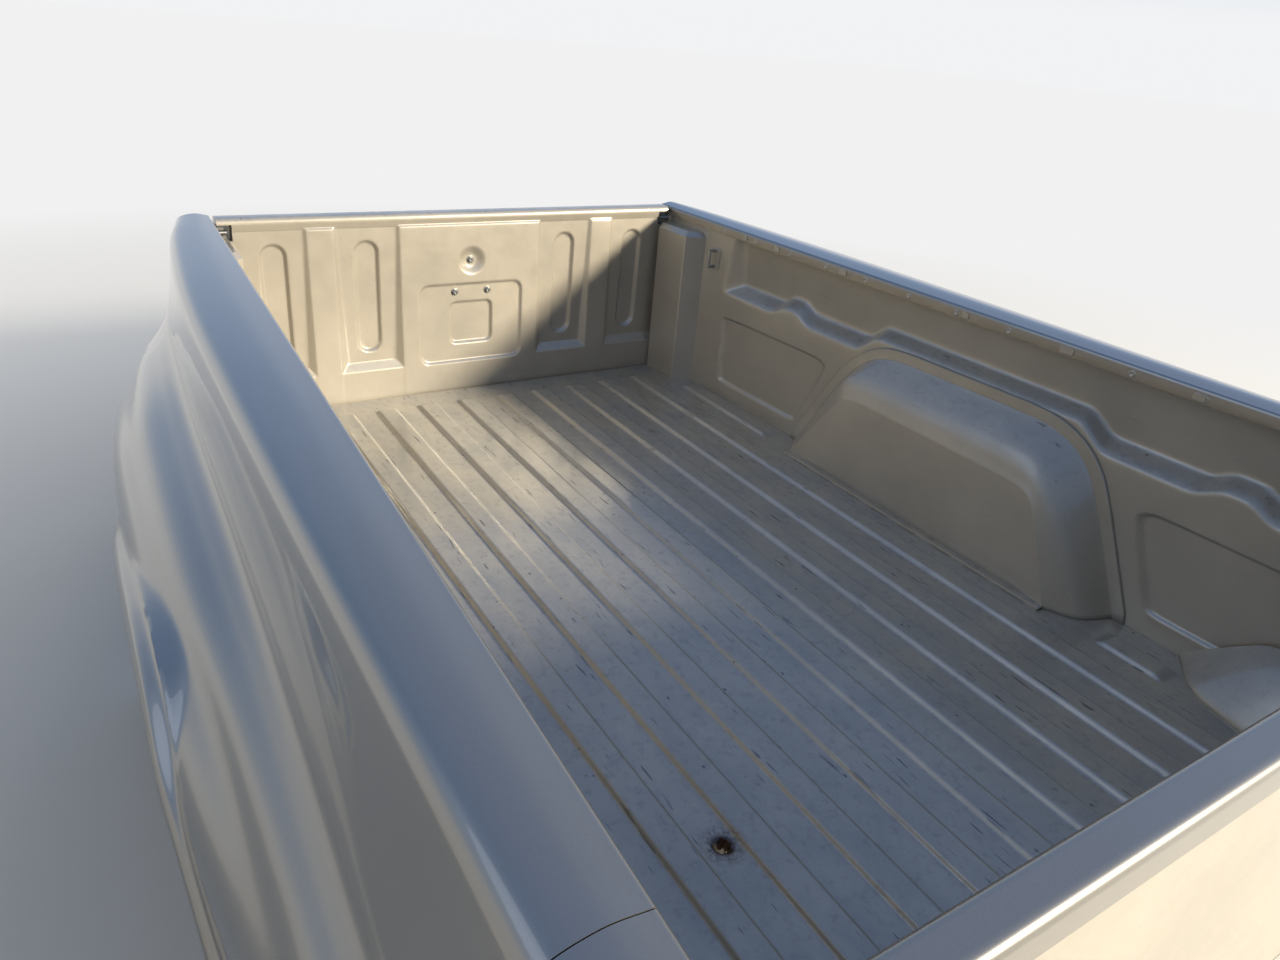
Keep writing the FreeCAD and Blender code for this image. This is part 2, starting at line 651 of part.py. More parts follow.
for low, high in ((fuel_foot - gap, knuckle_foot - LUG_GAP), (knuckle_top + LUG_GAP, fuel_top + gap)):
    hinge = hinge.fuse(block(hinge_x - 1, fuel_x + fuel_half + gap,
                             hinge_y - LUG_BACK, hinge_y + LUG_FRONT, low, high))
keep("fuel_hinge_pin", plain("fuel_hinge_pin", hinge))

# Filler neck and its cap inside the pocket
NECK_RADIUS = 34
NECK_BORE = 26
NECK_LENGTH = 12
CAP_RADIUS = 31
CAP_FIT = 0.3
CAP_LENGTH = 8
GRIP = (27, 5, 10)


def filler(radius, start, end):
    return rod(radius, (fuel_x, pocket_y + start, fuel_z), (fuel_x, pocket_y + end, fuel_z))


neck = filler(NECK_RADIUS, 0, NECK_LENGTH).cut(filler(NECK_BORE, 0, NECK_LENGTH))
keep("filler_neck", plain("filler_neck", neck))
grip_half, grip_side, grip_reach = GRIP
lid = NECK_LENGTH + CAP_FIT
cap = filler(NECK_BORE - CAP_FIT, 0, lid).fuse(filler(CAP_RADIUS, lid, lid + CAP_LENGTH))
cap = cap.fuse(block(fuel_x - grip_side, fuel_x + grip_side, pocket_y + lid + CAP_LENGTH,
                     pocket_y + lid + CAP_LENGTH + grip_reach, fuel_z - grip_half, fuel_z + grip_half))
keep("filler_cap", plain("filler_cap", cap))

# Filler tube cover in the front corner, driver's side
# Its foot on the floor and its upper edge: back from the front wall, inward of the wall
COVER_FOOT = [(336, 0), (273, 76), (190, 107), (88, 119), (0, 124)]
COVER_TOP = [(224, 0), (186, 36), (132, 56), (64, 64), (0, 66)]
COVER_HEIGHT = 92


def cover_section(table, z):
    points = [(bed_length - back, wall_y(bed_length - back) - inward, z) for back, inward in table]
    return points + [(bed_length, wall_y(bed_length), z)]


cover = loft([cover_section(COVER_FOOT, floor_z), cover_section(COVER_TOP, COVER_HEIGHT)])
keep("filler_cover", plain("filler_cover", cover))

# Rear post: closes the bedside behind the tailgate's end
post = doc.addObject("PartDesign::Body", "post_body")
WALL = "(%s + Sizes.wall_inset)" % RAIL
POST_SLANT = 28
POST_TOE = 5
POST_BACK = "(Sizes.post_length + %d)" % POST_SLANT
POST_OUTLINE = [
    ("Sizes.post_from", "%s + Sizes.post_from * %s" % (WALL, SLOPE)),
    ("Sizes.post_from", WALL + " - Sizes.post_inset"),
    ("Sizes.post_length", "%s - Sizes.post_inset + %d" % (WALL, POST_TOE)),
    (POST_BACK, "%s + %s * %s" % (WALL, POST_BACK, SLOPE)),
]
post_pad = post.newObject("PartDesign::Pad", "post_pad")
post_pad.Profile = sketch_outline(post, "post_outline", "XY_Plane", POST_OUTLINE)
POST_TALL = "Sizes.bed_depth - Sizes.lip_depth - Sizes.post_below_lip + Sizes.rib_height"
post_pad.setExpression("Length", POST_TALL)
post.setExpression("Placement.Base.z", "-Sizes.rib_height")
doc.recompute()


def post_edges(feature, chosen):
    return ["Edge%d" % place for place, edge in enumerate(feature.Shape.Edges, 1) if chosen(edge.BoundBox)]


inboard = number(WALL) - 1
clear_of_gate = size("post_from") + 1
pad_top = post_pad.Shape.BoundBox.ZMax - 0.1
post_top = post.newObject("PartDesign::Chamfer", "post_chamfer")
post_top.Base = (post_pad, post_edges(post_pad, lambda b: b.ZMin > pad_top and b.YMin < inboard
                                      and b.XMax > clear_of_gate))
post_top.setExpression("Size", "Sizes.post_chamfer")
doc.recompute()
post_corner = post.newObject("PartDesign::Fillet", "post_corners")
post_corner.Base = (post_top, post_edges(post_top, lambda b: b.ZLength > size("post_chamfer") + 1
                                         and b.YMax < inboard and b.XMin > clear_of_gate))
post_corner.setExpression("Radius", "Sizes.post_round")
doc.recompute()
gate_end = size("gate_half")
leg_face = gate_end + size("gate_gap")
leg = block(rear_end, size("post_from"), leg_face, wall_back(rear_end), -size("post_foot"), lip_z)
hinge_place = (-size("hinge_back"), -size("hinge_drop"))


def across(radius, y_from, y_to):
    x, z = hinge_place
    return rod(radius, (x, y_from, z), (x, y_to, z))


cup_bore = size("pin_radius") + size("pin_clear")
cup = across(cup_bore + size("cup_wall"), leg_face, leg_face + size("cup_length"))
both_sides("rear_post", post.Shape.fuse(leg).cut(cup))
both_sides("hinge_cup", cup.cut(across(cup_bore, leg_face, leg_face + size("cup_length"))))
PIN_END_GAP = 2
both_sides("hinge_pin", across(size("pin_radius"), gate_end, leg_face + size("cup_length") - PIN_END_GAP))

# Striker pin on the post, in the notch of the shut tailgate
NOTCH_DEPTH = 29
NOTCH_LENGTH = 28
NOTCH_HALF = 17
STRIKER_RADIUS = 5
STRIKER_HEAD = (8, 3)
LATCH_THICK = 9.5
STRIKER_LENGTH = 24
STRIKER_BACK = 13
NOTCH_DROP = 30
notch_z = rail_top - NOTCH_DROP


def striker_rod(radius, length):
    return rod(radius, (-STRIKER_BACK, leg_face - length, notch_z), (-STRIKER_BACK, leg_face, notch_z))


both_sides("striker", striker_rod(STRIKER_RADIUS, STRIKER_LENGTH).fuse(striker_rod(*STRIKER_HEAD)))

# Tailgate: bars, sloped fields, oval beads, centre pans and dish
GATE_FACE = 0
gate_back = -size("gate_thick")
gate = block(gate_back, GATE_FACE, -gate_end, gate_end, -size("gate_drop"), rail_top)
long_edges = [edge for edge in gate.Edges
              if edge.BoundBox.YLength > gate_end and edge.BoundBox.ZMin > 0]
gate = gate.makeFillet(size("gate_round"), long_edges)
# Shares of the tailgate's half width
PLATEAU = 0.315
BAR = 0.633
INNER_BEAD = 0.452
OUTER_BEAD = 0.812
BAR_HALF = 28
FIELD_TOP = 392
FIELD_DEPTH = 11
FIELD_FOOT = 84
FIELD_LEDGE = 64
wedge = [(1, FIELD_TOP), (-FIELD_DEPTH, FIELD_FOOT), (0, FIELD_LEDGE), (1, FIELD_LEDGE)]
fields = [(PLATEAU * gate_end, BAR * gate_end - BAR_HALF), (BAR * gate_end + BAR_HALF, gate_end + 1)]
for y_from, y_to in fields:
    field = prism([(x, y_from, z) for x, z in wedge], (0, y_to - y_from, 0))
    gate = gate.cut(field).cut(mirrored(field))
BEAD_HALF = 30
BEAD_FOOT = 105
BEAD_TOP = 372
BEAD_DEPTH = 15
BEAD_SLOPE = 6
PAN_SLOPE = 5
for share in (INNER_BEAD, OUTER_BEAD):
    middle = share * gate_end
    bead = pan(GATE_FACE, BEAD_DEPTH, middle - BEAD_HALF, middle + BEAD_HALF,
               BEAD_FOOT, BEAD_TOP, BEAD_HALF - 1, BEAD_SLOPE)
    gate = gate.cut(bead).cut(mirrored(bead))
# Centre pans: half width, foot, top, corner radius, depth
CENTRE_PANS = [(134, 60, 262, 26, 5), (57, 106, 216, 18, 10)]
for half, foot, top, corner, depth in CENTRE_PANS:
    gate = gate.cut(pan(GATE_FACE, depth, -half, half, foot, top, corner, PAN_SLOPE))
DISH = (32, 14, 12)
DISH_Z = 314
gate = gate.cut(Part.makeCone(*DISH, Vector(GATE_FACE, 0, DISH_Z), Vector(-1, 0, 0)))
notch = block(-NOTCH_DEPTH, 1, gate_end - NOTCH_LENGTH, gate_end + 1,
              notch_z - NOTCH_HALF, notch_z + NOTCH_HALF)
gate = gate.cut(notch).cut(mirrored(notch))
OUTER_PAN = (430, 40, 270, 40, 4)
half, foot, top, corner, depth = OUTER_PAN
gate = gate.cut(pan(gate_back, -depth, -half, half, foot, top, corner, PAN_SLOPE))
HANDLE_Z = 325
HANDLE_HALF = 92
HANDLE_RISE = 34
POCKET_DEPTH = 24
BEZEL_FIT = 0.3


def handle_block(half, low, high, out, back):
    """A block behind the tailgate's outer face: out is proud of it, back is into it."""
    return block(gate_back - out, gate_back + back, -half, half, HANDLE_Z + low, HANDLE_Z + high)


gate = gate.cut(handle_block(HANDLE_HALF, -HANDLE_RISE, HANDLE_RISE, 1, POCKET_DEPTH))
keep("tailgate", plain("tailgate", gate))
rise = HANDLE_RISE - BEZEL_FIT
# Bezel: rim proud of the gate, rim's width and height, wall behind the handle
BEZEL_PROUD = 3
BEZEL_SIDE = 12
BEZEL_RIM = 10
BEZEL_BACK = 6
bezel = handle_block(HANDLE_HALF - BEZEL_FIT, -rise, rise, BEZEL_PROUD, POCKET_DEPTH - 2)
bezel = bezel.cut(handle_block(HANDLE_HALF - BEZEL_SIDE, BEZEL_RIM - HANDLE_RISE, HANDLE_RISE - BEZEL_RIM,
                               BEZEL_PROUD + 1, POCKET_DEPTH - BEZEL_BACK))
keep("handle_bezel", plain("handle_bezel", bezel))
# Lifting plate and its stem: in from the pocket's end, foot and top about the handle's centre
PLATE = (14, -10, 22)
STEM = (30, 8, 18)
PLATE_PROUD = 1
PLATE_THICK = 6
inward, low, high = PLATE
handle = handle_block(HANDLE_HALF - inward, low, high, PLATE_PROUD, PLATE_THICK)
inward, low, high = STEM
handle = handle.fuse(handle_block(HANDLE_HALF - inward, low, high, -PLATE_THICK, POCKET_DEPTH - BEZEL_BACK))
keep("tailgate_handle", plain("tailgate_handle", handle))
LATCH_INSET = 2
latch_half = NOTCH_HALF - LATCH_INSET
latch = block(-NOTCH_DEPTH, LATCH_THICK - NOTCH_DEPTH, gate_end - NOTCH_LENGTH + LATCH_INSET,
              gate_end - LATCH_INSET, notch_z - latch_half, notch_z + latch_half)
both_sides("latch", latch)

# Front wall with its rolled top
roll_foot = rail_top - size("header_cap_height")
header_half = wall_y(bed_length)
header = block(bed_length, front_x, -header_half, header_half, floor_z, roll_foot)
# Pans in the front wall: from and to, as shares of its half width
HEADER_PANS = [(-0.83, -0.30), (-0.26, 0.26), (0.30, 0.83)]
HEADER_PAN_DEPTH = 8
HEADER_PAN_FOOT = 60
HEADER_PAN_BELOW = 63
HEADER_PAN_CORNER = 30
for share_from, share_to in HEADER_PANS:
    hollow = pan(0, HEADER_PAN_DEPTH, share_from * header_half, share_to * header_half, HEADER_PAN_FOOT,
                 roll_foot - HEADER_PAN_BELOW, HEADER_PAN_CORNER, HEADER_PAN_DEPTH)
    hollow.rotate(Vector(0, 0, 0), Vector(0, 0, 1), 180)
    hollow.translate(Vector(bed_length, 0, 0))
    header = header.cut(hollow)
keep("header_panel", plain("header_panel", header))
ROLL_ROUND = 9
roll = block(bed_length, front_x, -rail_y(bed_length), rail_y(bed_length), roll_foot, rail_top)
roll_edges = [edge for edge in roll.Edges
              if edge.BoundBox.ZMin > roll_foot + 1 and edge.BoundBox.YLength > 1]
keep("header_cap", plain("header_cap", roll.makeFillet(ROLL_ROUND, roll_edges)))

# Tie-down loop on the wall behind the wheelhouse
LOOP_REACH = 20
LOOP_SEAT = 0.3
loop_x = size("loop_from")
loop_foot = wall_y(loop_x) - LOOP_SEAT
loop_y = wall_y(loop_x) - LOOP_REACH
loop_low = rail_top - size("loop_drop") - size("loop_half")
loop_high = rail_top - size("loop_drop") + size("loop_half")
loop_route = [(loop_x, loop_foot, loop_low), (loop_x, loop_y, loop_low),
              (loop_x, loop_y, loop_high), (loop_x, loop_foot, loop_high)]
both_sides("tie_down", bent_rod(size("loop_radius"), loop_route))

# Cross sills under the floor: the first, middle and last are bolted to the frame
HALF = "Sizes.sill_width / 2"
LEVEL = "(%s - Sizes.sheet_thick)" % SHEET_FOOT
FLANGE_END = "(%s + Sizes.sill_flange)" % HALF
SHOULDER = "(%s - Sizes.sill_draft)" % HALF
hat = [("-" + FLANGE_END, SHEET_FOOT), ("-" + FLANGE_END, LEVEL), ("-" + HALF, LEVEL),
       ("-" + SHOULDER, SILL_FOOT), (SHOULDER, SILL_FOOT), (HALF, LEVEL),
       (FLANGE_END, LEVEL), (FLANGE_END, SHEET_FOOT), (HALF + " - Sizes.sheet_thick", SHEET_FOOT),
       (SHOULDER + " - Sizes.sheet_thick", SILL_FOOT + " + Sizes.sheet_thick"),
       ("-" + SHOULDER + " + Sizes.sheet_thick", SILL_FOOT + " + Sizes.sheet_thick"),
       ("-" + HALF + " + Sizes.sheet_thick", SHEET_FOOT)]
# Room left at both ends together
SHORT_SILL_ROOM = 30
LONG_SILL_ROOM = 12
HOUSE_INSIDE = "(%s + Sizes.wall_inset + Sizes.rear_span * %s - Sizes.house_depth)" % (RAIL, SLOPE)
SHORT_SILL = "2 * %s - %d" % (HOUSE_INSIDE, SHORT_SILL_ROOM)
LONG_SILL = "2 * %s - %d" % (FLOOR_HALF, LONG_SILL_ROOM)
# Sills: share of the bolt spacing from the pattern's centre, length, bolted
SILLS = [(-0.5, LONG_SILL, True), (-0.25, SHORT_SILL, False), (0.0, SHORT_SILL, True),
         (0.25, SHORT_SILL, False), (0.5, LONG_SILL, True)]
for count, (share, length, bolted) in enumerate(SILLS, 1):
    body = doc.addObject("PartDesign::Body", "sill_body_%d" % count)
    pad = body.newObject("PartDesign::Pad", "hat_pad_%d" % count)
    pad.Profile = sketch_outline(body, "hat_%d" % count, "XZ_Plane", hat)
    pad.SideType = "Symmetric"
    pad.setExpression("Length", length)
    body.setExpression("Placement.Base.x", "%s + Sizes.bolt_pitch_x * %.2f" % (BOLT_CENTRE, share))
    if bolted:
        holes = sketch_on(body, "holes_%d" % count, "XY_Plane")
        holes.setExpression("AttachmentOffset.Base.z", SILL_FOOT + " + Sizes.sheet_thick + 1")
        for side in (-1, 1):
            y = side * number(BOLT_HALF)
            circle = Part.Circle(Vector(0, y, 0), Vector(0, 0, 1), size("bolt_radius"))
            index = holes.addGeometry(circle, False)
            rule = holes.addConstraint(Sketcher.Constraint("Radius", index, size("bolt_radius")))
            holes.setExpression("Constraints[%d]" % rule, "Sizes.bolt_radius")
            hold_point(holes, index, 3, (0, y), ("0", "%d * %s" % (side, BOLT_HALF)))
        drilled = body.newObject("PartDesign::Pocket", "bolt_holes_%d" % count)
        drilled.Profile = holes
        drilled.setExpression("Length", "Sizes.sheet_thick + 2")
    keep("cross_sill_%d" % count, body)

doc.recompute()
for item in doc.Objects:
    if "Invalid" in item.State or "Error" in item.State:
        raise RuntimeError("%s failed: %s" % (item.Name, item.State))

# Put the origin at the centre of the frame bolt pattern
shift = Placement(Vector(-number(BOLT_CENTRE), 0, -number(SILL_FOOT)), Rotation())
os.makedirs("parts", exist_ok=True)
for name, made in sorted(parts.items()):
    shape = made.Shape.copy()
    if shape.isNull() or not shape.isValid():
        raise RuntimeError("bad shape: " + name)
    made.Placement = shift.multiply(made.Placement)
    shape.Placement = shift.multiply(shape.Placement)
    shape.exportStep("parts/%s.step" % name)
    print("%-20s %d solid(s) %9.0f cm3" % (name, len(shape.Solids), shape.Volume / 1000))
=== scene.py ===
import json
import math

import bmesh
import bpy
import numpy as np
from mathutils import Matrix, Vector


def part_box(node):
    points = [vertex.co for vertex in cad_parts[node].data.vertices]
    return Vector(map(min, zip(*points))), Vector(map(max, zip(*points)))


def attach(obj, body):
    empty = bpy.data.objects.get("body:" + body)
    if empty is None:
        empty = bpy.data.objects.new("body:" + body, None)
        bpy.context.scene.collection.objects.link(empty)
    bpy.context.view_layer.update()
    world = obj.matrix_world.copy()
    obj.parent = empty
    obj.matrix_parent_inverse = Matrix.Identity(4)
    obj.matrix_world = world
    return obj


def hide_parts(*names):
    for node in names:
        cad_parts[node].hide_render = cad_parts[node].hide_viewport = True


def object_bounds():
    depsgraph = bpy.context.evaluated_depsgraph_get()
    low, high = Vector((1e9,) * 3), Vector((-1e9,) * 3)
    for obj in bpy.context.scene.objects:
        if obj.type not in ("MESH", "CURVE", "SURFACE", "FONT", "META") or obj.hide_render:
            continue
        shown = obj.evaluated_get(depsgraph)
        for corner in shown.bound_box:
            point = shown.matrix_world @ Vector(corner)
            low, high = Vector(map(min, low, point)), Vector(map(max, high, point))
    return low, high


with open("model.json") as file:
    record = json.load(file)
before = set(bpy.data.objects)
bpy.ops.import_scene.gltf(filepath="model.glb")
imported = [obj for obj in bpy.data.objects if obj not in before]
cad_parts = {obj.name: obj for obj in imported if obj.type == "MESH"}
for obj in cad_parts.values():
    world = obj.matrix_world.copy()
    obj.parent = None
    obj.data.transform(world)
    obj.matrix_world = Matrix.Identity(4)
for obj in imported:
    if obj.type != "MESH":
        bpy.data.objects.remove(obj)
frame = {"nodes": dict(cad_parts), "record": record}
cad_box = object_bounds()

# Bed coordinates, as in the part's source: millimetres forward from the tailgate's
# inner face, towards the driver's side and up from the floor rib tops
MM = 0.001
ORIGIN = np.array((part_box("tailgate")[1].x, 0.0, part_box("floor_panel")[1].z))


def in_bed(corner):
    return (np.array(corner) - ORIGIN) / MM


def bed_box(node):
    low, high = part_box(node)
    return in_bed(low), in_bed(high)


# Main lines: the frame's boxes, and the sizes between them
RAIL_STEP = 7
WALL_INSET = 9
WALL_THICK = 56
SHEET = 3
RIB_HEIGHT = 7
REAR_POST_END = 152
HOUSE_FOOT_REAR = 425
gate_low, gate_high = bed_box("tailgate")
floor_low, floor_high = bed_box("floor_panel")
header_low, header_high = bed_box("header_cap")
GATE_HALF = gate_high[1]
RAIL_TOP = gate_high[2]
BED_LENGTH = header_low[0]
TAPER = (header_high[1] - GATE_HALF - RAIL_STEP) / BED_LENGTH
FLOOR_Z = -RIB_HEIGHT
LIP_Z = bed_box("side_inner_left")[1][2]
SIDE_FOOT = bed_box("side_outer_left")[0][2]
WHEEL_X = bed_box("wheelhouse_left")[0][0] + HOUSE_FOOT_REAR
WHEEL_Z = -330
ARCH_RADIUS = 420
# Middle of the rust hole, forward and across
HOLE = (WHEEL_X + 465, -291)


def rail_y(x):
    """Rail inner edge, from the centre line."""
    return GATE_HALF + RAIL_STEP + x * TAPER


def wall_y(x):
    """Face of the bedside's inner wall."""
    return rail_y(x) + WALL_INSET


def linked(name, data):
    """A new object in the scene."""
    made = bpy.data.objects.new(name, data)
    bpy.context.scene.collection.objects.link(made)
    return made


# Small tools for shapes: twin grid lines, joined points, sharp edges
TWIN_GAP = 0.09
WELD_GAP = 0.02
SHARP_ANGLE = 40


def soft_max(a, b, blend):
    return (a + b + np.sqrt((a - b) ** 2 + blend ** 2)) / 2


def soft_min(a, b, blend):
    return (a + b - np.sqrt((a - b) ** 2 + blend ** 2)) / 2


def soft_step(value, start, end):
    share = np.clip((value - start) / (end - start), 0, 1)
    return share * share * (3 - 2 * share)


def band(value, start, end, slope):
    """1 between start and end, with soft slopes inside them."""
    return soft_step(value, start, start + slope) * (1 - soft_step(value, end - slope, end))


def about(place, reach, spacing):
    """A run of grid lines to both sides of a place."""
    return place - reach, place + reach, spacing


def lines(*runs):
    """Grid lines: runs of start, end and spacing, sorted and without twins."""
    places = np.concatenate([np.linspace(start, end, max(2, round((end - start) / spacing) + 1))
                             for start, end, spacing in runs])
    places = np.unique(np.round(places, 3))
    return places[np.concatenate(([True], np.diff(places) > TWIN_GAP))]


def smooth_curve(points, samples):
    """Points on a smooth curve through the given ones, the same number in each stretch."""
    points = np.asarray(points, float)
    before = np.vstack((2 * points[:1] - points[1:2], points[:-1]))
    after = np.vstack((points[1:], 2 * points[-1:] - points[-2:-1]))
    tangents = (after - before) / 2
    t = np.linspace(0, 1, samples, endpoint=False)[:, None]
    curve = []
    for i in range(len(points) - 1):
        curve.append((2 * t ** 3 - 3 * t ** 2 + 1) * points[i] + (t ** 3 - 2 * t ** 2 + t) * tangents[i]
                     + (3 * t ** 2 - 2 * t ** 3) * points[i + 1] + (t ** 3 - t ** 2) * tangents[i + 1])
    return np.vstack(curve + [points[-1:]])


def evened(curve, count):
    """The same curve with evenly spaced points."""
    run = np.concatenate(([0], np.cumsum(np.linalg.norm(np.diff(curve, axis=0), axis=1))))
    places = np.linspace(0, run[-1], count)
    return np.stack([np.interp(places, run, curve[:, k]) for k in range(curve.shape[1])], axis=1)


def blurred(curve, passes):
    """A curve with its corners rounded and its ends held."""
    curve = curve.copy()
    for _ in range(passes):
        curve[1:-1] = (curve[:-2] + 2 * curve[1:-1] + curve[2:]) / 4
    return curve


def outline_distance(x, z, corners, blend):
    """Signed distance to a convex outline, negative inside, with soft corners."""
    middle = np.mean(corners, axis=0)
    distance = None
    for start, end in zip(corners, corners[1:] + corners[:1]):
        along = np.subtract(end, start) / math.dist(start, end)
        away = np.array((along[1], -along[0]))
        away *= -np.sign(np.dot(away, middle - start))
        edge = (x - start[0]) * away[0] + (z - start[1]) * away[1]
        distance = edge if distance is None else soft_max(distance, edge, blend)
    return distance


class Surface:
    """Gathers grids of points in bed millimetres into one mesh object."""

    def __init__(self):
        self.points = []
        self.faces = []
        self.count = 0

    def grid(self, points, kept=None, closed=False):
        rows, columns = points.shape[:2]
        index = self.count + np.arange(rows * columns).reshape(rows, columns)
        if closed:
            index = np.vstack((index, index[:1]))
        quads = np.stack((index[:-1, :-1], index[:-1, 1:], index[1:, 1:], index[1:, :-1]), axis=-1)
        quads = quads.reshape(-1, 4) if kept is None else quads[kept]
        self.points.append(points.reshape(-1, 3))
        self.faces += quads.tolist()
        self.count += rows * columns
        return index

    def cap(self, ring):
        self.faces.append([int(i) for i in ring])

    def made(self, name, material, side=1, angle=SHARP_ANGLE):
        points = np.vstack(self.points) * (1, side, 1) * MM + ORIGIN
        data = bpy.data.meshes.new(name)
        data.from_pydata(points, [], self.faces)
        tidy = bmesh.new()
        tidy.from_mesh(data)
        bmesh.ops.remove_doubles(tidy, verts=tidy.verts, dist=WELD_GAP * MM)
        loose = [vert for vert in tidy.verts if not vert.link_faces]
        bmesh.ops.delete(tidy, geom=loose, context="VERTS")
        bmesh.ops.recalc_face_normals(tidy, faces=tidy.faces)
        tidy.to_mesh(data)
        tidy.free()
        data.shade_smooth()
        data.set_sharp_from_angle(angle=math.radians(angle))
        data.materials.append(material)
        return linked(name, data)


def block(low, high):
    """A box in bed millimetres, to cut other pieces with."""
    tool = Surface()
    ring = [(low[0], low[1]), (high[0], low[1]), (high[0], high[1]), (low[0], high[1])]
    index = tool.grid(np.array([[(x, y, z) for z in (low[2], high[2])] for x, y in ring]), closed=True)
    tool.cap(index[:4, 0])
    tool.cap(index[:4, 1])
    return tool


def carved(piece, low, high, operation="DIFFERENCE", side=1):
    """The piece with a box cut out of it, or only what is in the box."""
    tool = block(low, high).made("tool", piece.data.materials[0], side=side)
    modifier = piece.modifiers.new("carve", "BOOLEAN")
    modifier.operation = operation
    modifier.solver = "EXACT"
    modifier.object = tool
    made = bpy.data.meshes.new_from_object(piece.evaluated_get(bpy.context.evaluated_depsgraph_get()))
    piece.modifiers.remove(modifier)
    made.name = piece.name
    piece.data = made
    made.set_sharp_from_angle(angle=math.radians(SHARP_ANGLE))
    bpy.data.objects.remove(tool)


def placed(piece, *nodes, slot="bed_paint", body="box"):
    """Hand a finished piece to its body and hide the nodes it replaces. The slot is not used."""
    if nodes:
        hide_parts(*nodes)
    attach(piece, body)


# Camera, solved from the bed's own lines in the photograph
EYE = Vector((1.0917, -0.8382, 0.9143))
AIM = Vector((-0.3151, 0.1146, 0.0600))
ROLL = 0.0923
LENS = 25.51


def make_camera():
    ahead = (AIM - EYE).normalized()
    level = ahead.cross(Vector((0, 0, 1))).normalized()
    upward = level.cross(ahead)
    right = math.cos(ROLL) * level + math.sin(ROLL) * upward
    up = math.cos(ROLL) * upward - math.sin(ROLL) * level
    data = bpy.data.cameras.new("photo_camera")
    data.lens = LENS
    data.sensor_width = 36
    data.clip_start = 0.02
    data.clip_end = 100
    camera = linked("photo_camera", data)
    turn = Matrix((right, up, -ahead)).transposed()
    camera.matrix_world = Matrix.Translation(EYE) @ turn.to_4x4()
    bpy.context.scene.camera = camera


def set_stops(ramp, stops):
    """Give a colour ramp its stops of place and colour or grey."""
    elements = ramp.color_ramp.elements
    while len(elements) < len(stops):
        elements.new(0.5)
    for element, (place, colour) in zip(elements, stops):
        element.position = place
        if not hasattr(colour, "__len__"):
            colour = (colour, colour, colour)
        element.color = (*colour, 1)


class Paint:
    """Builds one node material, a few lines at a time."""

    def __init__(self, name, **sockets):
        self.material = bpy.data.materials.new(name)
        self.material.use_nodes = True
        self.tree = self.material.node_tree
        self.shader = self.tree.nodes["Principled BSDF"]
        for socket, value in sockets.items():
            self.shader.inputs[socket.replace("_", " ")].default_value = value
        self.place = self.tree.nodes.new("ShaderNodeTexCoord").outputs["Object"]
        self.height = None

    def node(self, kind, **settings):
        made = self.tree.nodes.new(kind)
        for setting, value in settings.items():
            if hasattr(made, setting):
                setattr(made, setting, value)
            else:
                made.inputs[setting.replace("_", " ")].default_value = value
        return made

    def link(self, source, target):
        self.tree.links.new(source, target)

    def feed(self, value, socket):
        """A node's output, a colour or a number into a socket."""
        if hasattr(value, "links"):
            self.link(value, socket)
        elif hasattr(value, "__len__"):
            socket.default_value = (*value, 1)
        else:
            socket.default_value = value

    def mapped(self, stretch=(1, 1, 1), turn=(0, 0, 0), shift=(0, 0, 0)):
        mapping = self.node("ShaderNodeMapping")
        mapping.inputs["Scale"].default_value = stretch
        mapping.inputs["Rotation"].default_value = turn
        mapping.inputs["Location"].default_value = shift
        self.link(self.place, mapping.inputs["Vector"])
        return mapping.outputs["Vector"]

    def noise(self, scale, detail=3.0, rough=0.5, **mapping):
        made = self.node("ShaderNodeTexNoise", Scale=scale, Detail=detail, Roughness=rough)
        self.link(self.mapped(**mapping), made.inputs["Vector"])
        return made.outputs["Fac"]

    def spots(self, scale, size, **mapping):
        """Scattered round spots: 1 inside a spot."""
        made = self.node("ShaderNodeTexVoronoi", Scale=scale)
        self.link(self.mapped(**mapping), made.inputs["Vector"])
        return self.ramp(made.outputs["Distance"], (size * 0.7, 1.0), (size, 0.0))

    def ramp(self, value, *stops):
        """Colour or grey over a value: stops of place and colour."""
        made = self.node("ShaderNodeValToRGB")
        set_stops(made, stops)
        self.link(value, made.inputs["Fac"])
        return made.outputs["Color"]

    def mix(self, factor, first, second):
        made = self.node("ShaderNodeMix", data_type="RGBA")
        sockets = (made.inputs[0], made.inputs[6], made.inputs[7])
        for socket, value in zip(sockets, (factor, first, second)):
            self.feed(value, socket)
        return made.outputs[2]

    def maths(self, operation, first, second=0.0):
        made = self.node("ShaderNodeMath", operation=operation)
        for socket, value in zip(made.inputs, (first, second)):
            self.feed(value, socket)
        return made.outputs[0]

    def upward(self):
        """How far the surface faces up, from 0 to 1."""
        normal = self.node("ShaderNodeNewGeometry").outputs["Normal"]
        split = self.node("ShaderNodeSeparateXYZ")
        self.link(normal, split.inputs[0])
        return self.ramp(split.outputs["Z"], (0.35, 0.0), (0.85, 1.0))

    def near(self, centre, start, end):
        """1 near a point in the row frame and 0 past end, in metres."""
        away = self.node("ShaderNodeVectorMath", operation="DISTANCE")
        self.link(self.place, away.inputs[0])
        away.inputs[1].default_value = centre
        reach = self.maths("DIVIDE", away.outputs["Value"], end)
        return self.ramp(reach, (start / end, 1.0), (1.0, 0.0))

    def bump(self, value, distance, strength=1.0):
        made = self.node("ShaderNodeBump", Distance=distance, Strength=strength)
        self.link(value, made.inputs["Height"])
        if self.height is not None:
            self.link(self.height, made.inputs["Normal"])
        self.height = made.outputs["Normal"]
        self.link(self.height, self.shader.inputs["Normal"])

    def set(self, socket, value):
        self.link(value, self.shader.inputs[socket])
